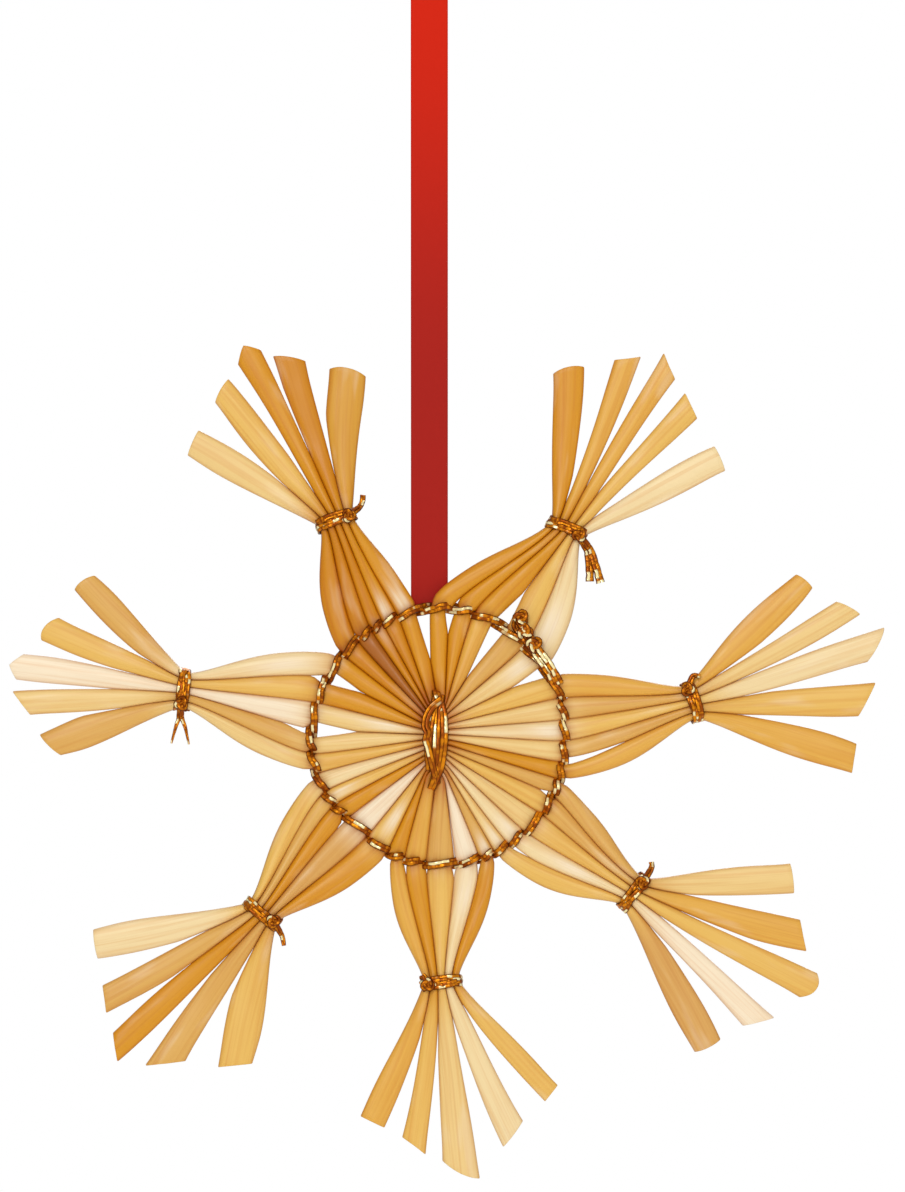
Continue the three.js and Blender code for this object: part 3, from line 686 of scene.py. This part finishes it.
def thread_tree():
    """Lays two foil strips side by side along a smooth path, face outwards and swaying a little."""
    g = Geometry("Foil Thread", "Strip Width", "Strip Thickness", "Strip Pitch", "Lift", "Flat Length",
                 "Step")
    curve = g.node("GeometryNodeCurveSplineType", {"Curve": g.chain()}, spline_type="CATMULL_ROM")
    curve = g.node("GeometryNodeSetSplineResolution", {"Geometry": curve, "Resolution": 12})
    inputs = {"Curve": curve, "Length": g.given("Step")}
    curve = g.node("GeometryNodeResampleCurve", inputs, mode="LENGTH")
    curve = g.store(curve, "spine", g.node("GeometryNodeInputPosition"), "FLOAT_VECTOR")
    curve = g.store(curve, "tangent", g.node("GeometryNodeInputTangent"), "FLOAT_VECTOR")
    length = g.node("GeometryNodeSplineParameter").output(1)
    curve = g.store(curve, "along", g.math("DIVIDE", length, g.given("Flat Length")))
    strips = [g.store(g.rim(10), "strip", side) for side in (-0.5, 0.5)]
    skin, rim_x, rim_y = g.sweep(curve, g.node("GeometryNodeJoinGeometry", {0: strips}))
    along, strip, girth = g.named("along"), g.named("strip"), g.named("girth")
    # A place on the two strips' section, x across their faces and y out of them.
    x = strip * g.given("Strip Pitch") + rim_x * (g.given("Strip Width") * 0.5)
    flat = abs(rim_y) ** 0.6 * g.math("SIGN", rim_y)
    lift = g.noise(g.join(along * 1.3, strip * 9.0, 4.0))
    y = flat * (g.given("Strip Thickness") * 0.5) + (lift - 0.5) * g.given("Lift")
    sway = (g.noise(g.join(along * 0.8)) - 0.5) * g.named("sway")
    cosine, sine = g.math("COSINE", sway), g.math("SINE", sway)
    tangent = g.named("tangent", "FLOAT_VECTOR")
    out = g.vector("NORMALIZE", g.vector("CROSS_PRODUCT", g.named("wide", "FLOAT_VECTOR"), tangent))
    level = g.vector("NORMALIZE", g.vector("CROSS_PRODUCT", tangent, out))
    place = g.moved(g.named("spine", "FLOAT_VECTOR"), level, (x * cosine - y * sine) * girth)
    place = g.moved(place, out, (x * sine + y * cosine) * girth)
    return g.finish(g.store(g.placed(skin, place), "edge", abs(rim_x)))


# ---- materials ----


def straw_material(props):
    """Dried straw: satin skin, fine lengthwise fibres and streaks, painted shade where squeezed and by
    threads, painted sheen.
    """
    s = Shader("dried straw")
    place = s.node("ShaderNodeUVMap", uv_map="UVMap")
    fibres = s.grain(place, 55.0, 0.6, 3.0, 0.6)
    streaks, patches = s.grain(place, 21.0, 0.5), s.grain(place, 6.0, 1.1)
    edge = s.attribute("edge")
    streaked = s.ramp(streaks, 0.42, 0.68, 0.0, 0.3)
    colour = s.blend(streaked, s.attribute("tone", "Color"), props.streak_colour, "MULTIPLY")
    # Pale patches at random: partly sun-bleaching, partly painted sheen.
    colour = s.blend(s.ramp(patches, 0.55, 0.75, 0.0, 0.25), colour, props.bleached_and_sheen_colour)
    # Painted highlight: pale sheen painted into the colour at the listed places, kept off the straw's
    # edges.
    satin = s.attribute("satin") * s.ramp(edge, 0.25, 0.85, 0.85, 0.0)
    satin = satin * s.ramp(streaks, 0.35, 0.6, 0.6, 1.0)
    colour = s.blend(satin, colour, props.bleached_and_sheen_colour)
    colour = s.blend(s.ramp(fibres, 0.5, 0.72, 0.0, 0.2), colour, props.fibre_colour, "MULTIPLY")
    # Painted shade: darker beside the threads and under the binding, where they shade the straw.
    painted_thread_shade = s.attribute("brown") * s.ramp(streaks, 0.3, 0.7, 0.45, 0.85)
    colour = s.blend(painted_thread_shade, colour, props.thread_shade_colour, "MULTIPLY")
    # Painted shade in the creases between straws, deeper where they are pressed together.
    painted_crease_shade = s.ramp(edge, 0.76, 1.0) * s.ramp(s.attribute("pinch"), 0.0, 1.0, 0.3, 0.8)
    colour = s.blend(painted_crease_shade, colour, props.crease_shade_colour, "MULTIPLY")
    return s.finish({
        "Base Color": colour, "Roughness": s.ramp(fibres, 0.3, 0.7, 0.36, 0.5), "Coat Weight": 0.1,
        "Coat Roughness": 0.3, "Specular IOR Level": 0.32, "Normal": s.bump(fibres, 0.35, 0.00004)})


def thread_material(props):
    """Gold foil thread: short painted glints, amber between them, painted shade at creases and edges."""
    s = Shader("gold thread")
    along, strip, edge = s.attribute("along"), s.attribute("strip") * 37.0, s.attribute("edge")
    # Painted glints: pale cream patches at random along each strip, kept off its edges, with less metal
    # and lower roughness there.
    glint_noise = s.noise(s.join(along * 0.9, strip), 0.0) + s.attribute("glint")
    creases = s.noise(s.join(along * 2.1, strip, 5.0), 2.0, 0.6)
    bright = s.ramp(glint_noise, 0.6, 0.64) * s.ramp(edge, 0.4, 0.8, 1.0, 0.0)
    # Painted shade: darker in the foil's creases at random, and darkest at each strip's edges.
    colour = s.blend(s.ramp(creases, 0.4, 0.66), props.shade_colour, props.gold_colour)
    colour = s.blend(s.ramp(edge, 0.45, 0.95, 0.0, 0.9), colour, props.edge_shade_colour)
    colour = s.blend(bright, colour, props.bright_colour)
    return s.finish({
        "Base Color": colour, "Metallic": s.ramp(bright, 0.0, 1.0, 0.55, 0.3),
        "Roughness": s.ramp(bright, 0.0, 1.0, 0.36, 0.22), "Specular IOR Level": 0.12})


def ribbon_material(props):
    """Satin ribbon: close weave; lighter red at the top, painted light, and darker towards the star,
    painted shade.
    """
    s = Shader("red satin")
    place = s.node("ShaderNodeTexCoord", None, "Object")
    height = s.node("ShaderNodeSeparateXYZ", {0: place}, 2)
    # Painted light and shade: lighter red at the top, darker near the star.
    colour = s.blend(s.ramp(height, -0.048, -0.002), props.shaded_red_colour, props.bright_colour)
    threads = s.grain(s.node("ShaderNodeUVMap", uv_map="UVMap"), 9.0, 90.0)
    colour = s.blend(s.ramp(threads, 0.35, 0.7, 0.0, 0.12), colour, props.thread_colour)
    return s.finish({
        "Base Color": colour, "Roughness": s.ramp(threads, 0.3, 0.7, 0.42, 0.55),
        "Specular IOR Level": 0.04, "Normal": s.bump(threads, 0.25, 0.00003)})


# ---- straws ----


def station_row(end, n, u, inset=0.0, pull_in=0.0):
    """All that the straw tree reads at one station, in metres."""
    place, heading, cw, ccw, depth = section(end, n, u)
    place = place - heading * pull_in
    tip = over(u, 0.62, 0.38) if n == 3 else 0.0
    across = Vector((0, -end.side)) if n == 0 and u == 0 else clockwise(heading)
    narrower = MOUTH_NARROWING * inset
    return {
        "spine": tuple(spot(place.x, place.y, STAGGER * math.sin(end.number * PHASE))),
        "across": (across.x, 0.0, across.y), "heading": (heading.x, 0.0, heading.y),
        "cw": (cw - narrower) * MM, "ccw": (ccw - narrower) * MM, "deep": (depth / 2 - inset) * MM,
        "slant": end.cut / 2 * tip * MM, "crown": end.round * tip * MM,
        # The keys after the tone set painted shade in the creases, painted shade beside the threads and
        # painted highlights.
        "tone": (*tone_at(end, n, u), 1.0), "pinch": squeeze(n, u), "brown": thread_shade_at(end, n, u),
        "satin": float(painted_sheen_at(end.number, n, u)),
    }


def painted_sheen_at(number, n, u):
    """How strongly a pale highlight is painted on the straw there, 0 to 1."""
    return sum(hump(u - middle, PAINTED_SHEEN_LENGTH) for end, part, middle in PAINTED_SHEEN_PATCHES
               if (end, part) == (number, n))


def tone_at(end, n, u):
    """The straw's own colour, which changes at the ring and beyond the tie."""
    inner, ray = Vector(TONES[INNER_TONES[end.number]]), Vector(TONES[RAY_TONES[end.number]])
    if n < 2:
        return inner if n == 0 else inner.lerp(ray, over(u, 0.8, 0.2) * 0.5)
    if n == 2:
        return inner.lerp(ray, 0.5 + 0.5 * over(u, 0, 0.3))
    return ray.lerp(Vector(TONES[end.tone]), over(u, 0, 0.4))


def end_rows(end, with_hub):
    """Stations from the tip in to the hub, starting inside the straw's open mouth."""
    rows = [station_row(end, 3, 1.0, STRAW_WALL * walls, back) for walls, back in MOUTH]
    for n in (3, 2, 1, 0):
        count = PART_STATIONS[n]
        rows += [station_row(end, n, LAST_STATION if n == 3 and s == count else s / count)
                 for s in range(count, 0, -1)]
    return rows + ([station_row(end, 0, 0.0)] if with_hub else [])


def mirrored(row):
    """The same section seen from the straw's other end, where its two sides change places."""
    return {**row, "across": tuple(-c for c in row["across"]), "cw": row["ccw"], "ccw": row["cw"],
            "slant": -row["slant"]}


def make_straw(number, tree, finish, props):
    rows = end_rows(ENDS[number], True)
    if number < STRAWS - 1:
        rows += [mirrored(row) for row in reversed(end_rows(ENDS[LAST_END - number], False))]
    length = 0.0
    along = []
    for before, row in zip([rows[0]] + rows, rows):
        length += (Vector(row["spine"]) - Vector(before["spine"])).length
        along.append(length)
    columns = {key: [row[key] for row in rows] for key in rows[0]}
    name = f"flat_straw_{number + 1:02d}"
    path = path_mesh(name, [columns["spine"]], along=along, **columns)
    return grow(name, path, tree, sides=props.sides, fibre_height=props.fibre_height,
                dent_depth=props.dent_depth, seed=float(number * 3), material=finish)


# ---- threads ----


def spot(x, z, y):
    """A place on the star, given from the ring's middle and back, in metres."""
    return Vector(((x + CENTRE_X) * MM, y * MM, (z + CENTRE_Z) * MM))


def gap_bearing(n):
    """Between a straw end and the one before it, where the ring thread changes sides."""
    before, after = CROSSINGS[(n + LAST_END) % ENDS_COUNT], CROSSINGS[n % ENDS_COUNT]
    return (before[1] - (360 if n % ENDS_COUNT == 0 else 0) + after[0]) / 2


def ring_route():
    """Twice round: the two rounds are twined, one before each straw and the other behind it."""
    points, wides = [], []
    for n in range(RING_FIRST, RING_FIRST + RING_TURNS * ENDS_COUNT):
        end = ENDS[n % ENDS_COUNT]
        side = -1 if n % 2 == 0 else 1
        height = end.ring_depth / 2 + RING_CLEAR + RING_THREAD
        stance = math.degrees(end.ring_half * 0.5 / ring_radius(end.bearing))
        for bearing, twine, y in ((gap_bearing(n), 1, 0), (end.bearing - stance, 0.5, side * height),
                                  (end.bearing + stance, -0.5, side * height)):
            p = at(bearing, ring_radius(bearing) + twine * RING_TWINE * side)
            points.append(spot(p.x, p.y, y))
            wides.append(flat_vector(at(bearing, 1)))
    return points, wides, 1.0, 0.0


def flat_vector(v):
    return Vector((v.x, 0, v.y))


def free_route(points, tip=1.0, glint=TIE_GLINT):
    """A loose length of thread, its face in the plane of the star, flared or tapered to its tip."""
    wides = []
    for i in range(len(points)):
        t = points[min(i + 1, len(points) - 1)] - points[max(i - 1, 0)]
        wides.append(Vector((-t.z, 0.2 * t.length, t.x)).normalized())
    return points, wides, tip, glint


def knot_route(centre, size, turn):
    """A small overhand knot: an open trefoil of thread."""
    points = []
    a = math.radians(turn)
    for s in range(25):
        t = 2 * math.pi * (s + 0.5) / 26
        x = math.sin(t) + 2 * math.sin(2 * t)
        z = math.cos(t) - 2 * math.cos(2 * t)
        points.append(centre + Vector((x * math.cos(a) - z * math.sin(a), -1.4 * math.sin(3 * t),
                                       x * math.sin(a) + z * math.cos(a))) * (size / 3 * MM))
    return free_route(points)


def squarish(v):
    return math.copysign(abs(v) ** 0.75, v)


def tie_route(ray):
    """Winding, knot and tails of one ray's tie, as separate lengths of thread."""
    _, bearing, reach, lean, hand, tails, _ = ray
    band, outward, centre = at(bearing - lean + 90, 1), at(bearing - lean, 1), at(bearing, reach)

    def place(side, out, y):
        p = centre + band * side * hand + outward * out
        return spot(p.x, p.y, y)

    steps = TIE_POINTS * TIE_TURNS
    winding = []
    for s in range(steps + 1):
        a = s / TIE_POINTS * 2 * math.pi
        climb = (s / steps * 2 - 1) * TIE_STEP + TIE_CROSS * math.sin(1.5 * a + bearing)
        front = TIE_FRONT + TIE_UNEVEN * math.sin(0.5 * a + bearing)
        winding.append(place(squarish(math.cos(a)) * TIE_SIDE, climb, squarish(math.sin(a)) * front))
    knot_at = place(TIE_SIDE - KNOT_IN, 0, -TIE_FRONT - KNOT_PROUD)
    routes = [(winding, [flat_vector(outward)] * len(winding), 1.0, TIE_GLINT),
              knot_route(knot_at, KNOT_SIZE, bearing)]
    return routes + [free_route([knot_at] + [place(*p) for p in tail], tip) for tip, tail in tails]


def binding_route():
    """Turns round the stack: a spindle of strands in front, closing over its top and foot."""
    points = []

    def place(x, z, y):
        points.append(spot(STACK_X + x + BINDING_LEAN * z, STACK_Z + z, y))

    def clear_of_stack(z):
        return STACK_DEPTH / 2 * math.sqrt(1 - (z / STACK_PITCH / STACK_SWELL) ** 2) + BINDING_CLEAR

    def tall(k):
        return BINDING_SHORT if k < 2 else BINDING_TALL

    for k in range(BINDING_TURNS):
        front = (k - (BINDING_TURNS - 1) / 2) * BINDING_SPREAD
        back = front + BINDING_SPREAD / 2
        pair = -BINDING_PAIR if k % 2 == 0 else BINDING_PAIR
        for z in BINDING_STATIONS:
            place(front * (1 - (z / BINDING_TAPER) ** 2), z, -clear_of_stack(z))
        for y in (-BINDING_WRAP, BINDING_WRAP):
            place(pair, tall(k), y)
        for z in BINDING_STATIONS[::-2]:
            place(back * (1 - (z / BINDING_TAPER) ** 2), z, clear_of_stack(z))
        if k + 1 < BINDING_TURNS:
            for y in (BINDING_WRAP, -BINDING_WRAP):
                place(-pair, -tall(k + 1), y)
    return points, [Vector((1, 0, 0))] * len(points), 1.0, BINDING_GLINT


def make_thread(name, node, routes, props, girth=1.0, stretch=1.0):
    """Sweeps thread along every route, given as its points, the way its face is wide at each, its
    girth at the tip and how strongly painted glints show on it."""
    tree = bpy.data.node_groups.get("Foil Thread") or thread_tree()
    finish = bpy.data.materials.get("gold thread") or thread_material(props)
    girths, wides, glints = [], [], []
    for points, across, tip, glint in routes:
        girths += [girth * mix(1, tip, k / (len(points) - 1)) for k in range(len(points))]
        wides += [tuple(v) for v in across]
        glints += [glint] * len(points)
    path = path_mesh(name, [route[0] for route in routes], girth=girths, wide=wides, glint=glints,
                     sway=[THREAD_SWAY / stretch] * len(wides))
    sizes = {key: getattr(props, key) for key in ("strip_width", "strip_thickness", "strip_pitch", "lift")}
    made = grow(name, path, tree, flat_length=props.flat_length * stretch, step=props.step,
                material=finish, **sizes)
    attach(made, "root")
    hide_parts(node)


# ---- ribbon ----


def ribbon_route():
    """The middle line of the ribbon as back and up, from one end over the loop to the other."""
    def leg(end, loop):
        upper = (mix(end, loop, 0.45), mix(RIBBON_END, -RIBBON_BEND, 0.42))
        return [(end, RIBBON_END), (end, RIBBON_END + 2), upper]

    crown = []
    for s in range(25):
        a = math.pi * (1 - s / 24)
        crown.append((RIBBON_LOOP * math.cos(a),
                      -RIBBON_BEND + (RIBBON_BEND + RIBBON_THICK / 2) * math.sin(a)))
    front = leg(RIBBON_BACK - RIBBON_PART, -RIBBON_LOOP)
    rear = leg(RIBBON_BACK + RIBBON_PART, RIBBON_LOOP)
    return front + crown + list(reversed(rear))


def smooth_route(points, step):
    """The same route with a point every step, straight between its points."""
    found = [Vector(points[0])]
    for a, b in zip(points, points[1:]):
        a, b = Vector(a), Vector(b)
        count = max(1, round((b - a).length / step))
        found += [a.lerp(b, (i + 1) / count) for i in range(count)]
    return found


def ribbon_mesh(name, route, props):
    """A woven strip with a thicker selvedge along each edge."""
    half, thick = RIBBON_WIDTH / 2, RIBBON_THICK / 2
    rings = []
    length = 0.0
    for i, p in enumerate(route):
        before, after = route[max(0, i - 1)], route[min(len(route) - 1, i + 1)]
        n = clockwise((after - before).normalized())
        length += (p - before).length
        ring = []
        for face in (-1, 1):
            for c in range(RIBBON_COLUMNS + 1):
                w = mix(-half, half, c / RIBBON_COLUMNS) * -face
                selvedge = SELVEDGE_PROUD * ease((abs(w) - half + SELVEDGE_IN) / SELVEDGE_RISE)
                drop = EDGE_DROP * ease((abs(w) - half + EDGE_IN) / EDGE_IN)
                q = p + n * (face * thick * (RIBBON_WEB + selvedge - drop))
                ring.append(((RIBBON_X + w, q.x, q.y), (w, length)))
        rings.append(ring)
    side = len(rings[0])
    points = [tuple(c * MM for c in v) for ring in rings for v, _ in ring]
    maps = [m for ring in rings for _, m in ring]
    faces = []
    for r in range(len(rings) - 1):
        for s in range(side):
            e = (s + 1) % side
            faces.append((r * side + s, r * side + e, (r + 1) * side + e, (r + 1) * side + s))
    last = (len(rings) - 1) * side
    faces += [tuple(range(side - 1, -1, -1)), tuple(range(last, last + side))]
    mesh = new_mesh(name, points, [], faces)
    layer = mesh.uv_layers.new(name="UVMap")
    for loop in mesh.loops:
        layer.data[loop.index].uv = maps[loop.vertex_index]
    mesh.materials.append(ribbon_material(props))
    mesh.shade_smooth()
    return mesh


# ---- properties ----


def colour_property(name, description, code):
    return FloatVectorProperty(name=name, description=description, default=rgb(code), size=3,
                               min=0.0, max=1.0, subtype="COLOR")


def length_property(name, description, default):
    return FloatProperty(name=name, description=description, default=default, min=0.0, unit="LENGTH",
                         precision=6)


class StrawSettings(bpy.types.PropertyGroup):
    sides: IntProperty(name="Sides", description="Points round each straw", default=32, min=8, max=64)
    fibre_height: length_property("Fibre Height", "How far the fibre ribs stand proud", 0.00005)
    dent_depth: length_property("Dent Depth", "Depth of the soft dents in the skin", 0.00022)
    streak_colour: colour_property("Streak", "Darker lengthwise streaks", "E8BC80")
    # Pale patches, partly sun-bleaching and partly painted sheen, and the colour of the painted
    # highlights.
    bleached_and_sheen_colour: colour_property("Bleached", "Pale sun-bleached patches", "F6E3C4")
    fibre_colour: colour_property("Fibre", "Tint of the finest fibres", "D9A872")
    # Painted shade beside the threads.
    thread_shade_colour: colour_property("Browned", "Tint of straw beside a thread", "D09048")
    # Painted shade in the creases between straws.
    crease_shade_colour: colour_property("Crease", "Brown in the creases between straws", "BC6A0C")


class ThreadSettings(bpy.types.PropertyGroup):
    strip_width: length_property("Strip Width", "Width of one foil strip", 0.00046)
    strip_thickness: length_property("Strip Thickness", "Thickness of one foil strip", 0.00028)
    strip_pitch: length_property("Strip Pitch", "Distance between the two strips", 0.0003)
    lift: length_property("Lift", "How far the strips rise and dip past each other", 0.0005)
    # The length of one painted glint; the strips' lift and sway follow the same length.
    flat_length: length_property("Flat Length", "Length of one bright flat", 0.0011)
    step: length_property("Step", "Distance between sections", 0.00014)
    gold_colour: colour_property("Gold", "Foil colour", "E38C12")
    # Colour of the painted glints.
    bright_colour: colour_property("Bright", "Foil that catches the light", "FFF0B4")
    # Painted shade in the foil's creases.
    shade_colour: colour_property("Shade", "Creased foil", "96480A")
    # Painted shade at the strips' edges.
    edge_shade_colour: colour_property("Edge", "Turned-under edges of the foil", "4A1A02")


class RibbonSettings(bpy.types.PropertyGroup):
    # Lighter at the top and darker near the star: painted light and painted shade.
    bright_colour: colour_property("Bright Red", "Red at the top of the ribbon", "D7260F")
    shaded_red_colour: colour_property("Deep Red", "Red near the star", "A8241D")
    thread_colour: colour_property("Thread", "Weave thread tint", "B8201C")


class StageSettings(bpy.types.PropertyGroup):
    camera_distance: length_property("Camera Distance", "From the star to the camera", 0.9)
    view_height: length_property("View Height", "Height that the view takes in", 0.1289)
    floor_colour: colour_property("Floor", "Pale floor", "FAF8F5")
    key_power: FloatProperty(name="Key", description="Power of the main light", default=3.75, unit="POWER")


# ---- operators ----


class STRAWSTAR_OT_stage(bpy.types.Operator):
    """Make the camera, the soft lights and the pale floor"""

    bl_idname = "strawstar.stage"
    bl_label = "Stage"

    def execute(self, context):
        scene, props = context.scene, context.scene.straw_star_stage
        scene.view_settings.view_transform = "Standard"
        middle = spot(VIEW_X, VIEW_Z, 0)
        lens = bpy.data.cameras.new("camera")
        lens.sensor_width = 36.0
        lens.lens = lens.sensor_width * props.camera_distance / props.view_height
        lens.clip_end = 20.0
        scene.camera = new_object("camera", lens)
        scene.camera.location = middle + Vector((0, -props.camera_distance, 0))
        scene.camera.rotation_euler = (math.pi / 2, 0, 0)
        for name, offset, size, share in LIGHTS:
            lamp = bpy.data.lights.new(name, "AREA")
            lamp.size = size
            lamp.energy = props.key_power * share
            place = middle + Vector(offset)
            made = new_object(name, lamp)
            made.location = place
            made.rotation_euler = (middle - place).to_track_quat("-Z", "Y").to_euler()
        self.world(scene)
        self.floor(props)
        return {"FINISHED"}

    def world(self, scene):
        """The camera sees white behind the star, and the star is lit by a warmer, dimmer room."""
        scene.world = bpy.data.worlds.new("pale room")
        scene.world.use_nodes = True
        scene.world.node_tree.nodes.clear()
        w = Tree(scene.world.node_tree)
        seen = w.node("ShaderNodeLightPath", None, "Is Camera Ray")
        room = w.node("ShaderNodeBackground", {"Color": (1.0, 0.98, 0.95), "Strength": 0.4})
        white = w.node("ShaderNodeBackground", {"Color": (1.0, 1.0, 1.0), "Strength": 1.0})
        w.node("ShaderNodeOutputWorld", {0: w.node("ShaderNodeMixShader", {0: seen, 1: room, 2: white})})

    def floor(self, props):
        turns = (2 * math.pi * s / FLOOR_SIDES for s in range(FLOOR_SIDES))
        ring = [(FLOOR_RADIUS * math.cos(a), FLOOR_RADIUS * math.sin(a), FLOOR_HEIGHT) for a in turns]
        mesh = new_mesh("floor", ring, [], [tuple(range(FLOOR_SIDES))])
        mesh.materials.append(Shader("pale floor").finish({
            "Base Color": props.floor_colour, "Roughness": 0.8}))
        new_object("floor", mesh)


class STRAWSTAR_OT_ribbon(bpy.types.Operator):
    """Make the satin ribbon of the hanging loop"""

    bl_idname = "strawstar.ribbon"
    bl_label = "Ribbon"

    def execute(self, context):
        props = context.scene.straw_star_ribbon
        route = smooth_route(ribbon_route(), RIBBON_STEP)
        made = new_object("satin_ribbon", ribbon_mesh("satin_ribbon", route, props))
        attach(made, "root")
        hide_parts("ribbon")
        length = sum((b - a).length for a, b in zip(route, route[1:])) * MM
        return {"FINISHED"}


class STRAWSTAR_OT_straws(bpy.types.Operator):
    """Make every flattened straw, each from one cut end to the other"""

    bl_idname = "strawstar.straws"
    bl_label = "Straws"

    def execute(self, context):
        props = context.scene.straw_star_straws
        tree = straw_tree()
        finish = straw_material(props)
        for number in range(STRAWS):
            made = make_straw(number, tree, finish, props)
            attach(made, "root")
            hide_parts(f"straw_{number + 1:02d}")
        return {"FINISHED"}


class STRAWSTAR_OT_ring(bpy.types.Operator):
    """Make the ring of gold thread that is woven through the straws"""

    bl_idname = "strawstar.ring"
    bl_label = "Ring Thread"

    def execute(self, context):
        props = context.scene.straw_star_thread
        routes = [ring_route()]
        for lap in (-RING_TAIL_LAP, RING_TAIL_LAP):
            tail = [spot(x + lap, z + lap, y - lap / 2) for x, z, y in RING_TAIL]
            routes.append(free_route(tail, glint=TAIL_GLINT))
        routes += [knot_route(spot(x, z, y), size, turn) for x, z, y, size, turn in RING_KNOTS]
        make_thread("woven_ring_thread", "ring_thread", routes, props, RING_GIRTH)
        return {"FINISHED"}


class STRAWSTAR_OT_ties(bpy.types.Operator):
    """Make the thread tie of each ray, with its knot and tails"""

    bl_idname = "strawstar.ties"
    bl_label = "Ray Ties"

    def execute(self, context):
        props = context.scene.straw_star_thread
        for ray in RAYS:
            make_thread("ray_tie_" + ray[0], "tie_" + ray[0], tie_route(ray), props)
        return {"FINISHED"}


class STRAWSTAR_OT_binding(bpy.types.Operator):
    """Make the gold thread that binds the straws at the middle"""

    bl_idname = "strawstar.binding"
    bl_label = "Centre Binding"

    def execute(self, context):
        props = context.scene.straw_star_thread
        strand = free_route([spot(*point) for point in BINDING_STRAND], STRAND_TIP, STRAND_GLINT)
        make_thread("middle_binding", "centre_binding", [binding_route(), strand], props,
                    BINDING_GIRTH, BINDING_STRETCH)
        return {"FINISHED"}


class STRAWSTAR_PT_panel(bpy.types.Panel):
    """The sidebar list of the star's pieces and their settings"""

    bl_idname = "STRAWSTAR_PT_panel"
    bl_label = "Straw Star"
    bl_space_type = "VIEW_3D"
    bl_region_type = "UI"
    bl_category = "Straw Star"

    def draw(self, context):
        layout = self.layout
        for name, _, operators in GROUPS:
            settings = getattr(context.scene, name)
            box = layout.box()
            for key in settings.bl_rna.properties.keys():
                if key not in ("rna_type", "name"):
                    box.prop(settings, key)
            for operator in operators:
                box.operator(operator.bl_idname)


# Each group of settings: its name in the scene, its class and the operators that use it.
GROUPS = [
    ("straw_star_stage", StageSettings, [STRAWSTAR_OT_stage]),
    ("straw_star_ribbon", RibbonSettings, [STRAWSTAR_OT_ribbon]),
    ("straw_star_straws", StrawSettings, [STRAWSTAR_OT_straws]),
    ("straw_star_thread", ThreadSettings, [STRAWSTAR_OT_ring, STRAWSTAR_OT_ties, STRAWSTAR_OT_binding]),
]
CLASSES = [c for _, settings, operators in GROUPS for c in (settings, *operators)] + [STRAWSTAR_PT_panel]


def register():
    for cls in CLASSES:
        bpy.utils.register_class(cls)
    for name, settings, _ in GROUPS:
        setattr(bpy.types.Scene, name, PointerProperty(type=settings))


def unregister():
    for name, _, _ in GROUPS:
        delattr(bpy.types.Scene, name)
    for cls in reversed(CLASSES):
        bpy.utils.unregister_class(cls)


def main():
    register()
    bpy.ops.strawstar.stage()
    bpy.ops.strawstar.ribbon()
    bpy.ops.strawstar.straws()
    bpy.ops.strawstar.ring()
    bpy.ops.strawstar.ties()
    bpy.ops.strawstar.binding()
    bpy.context.view_layer.update()


if __name__ == "__main__":
    main()
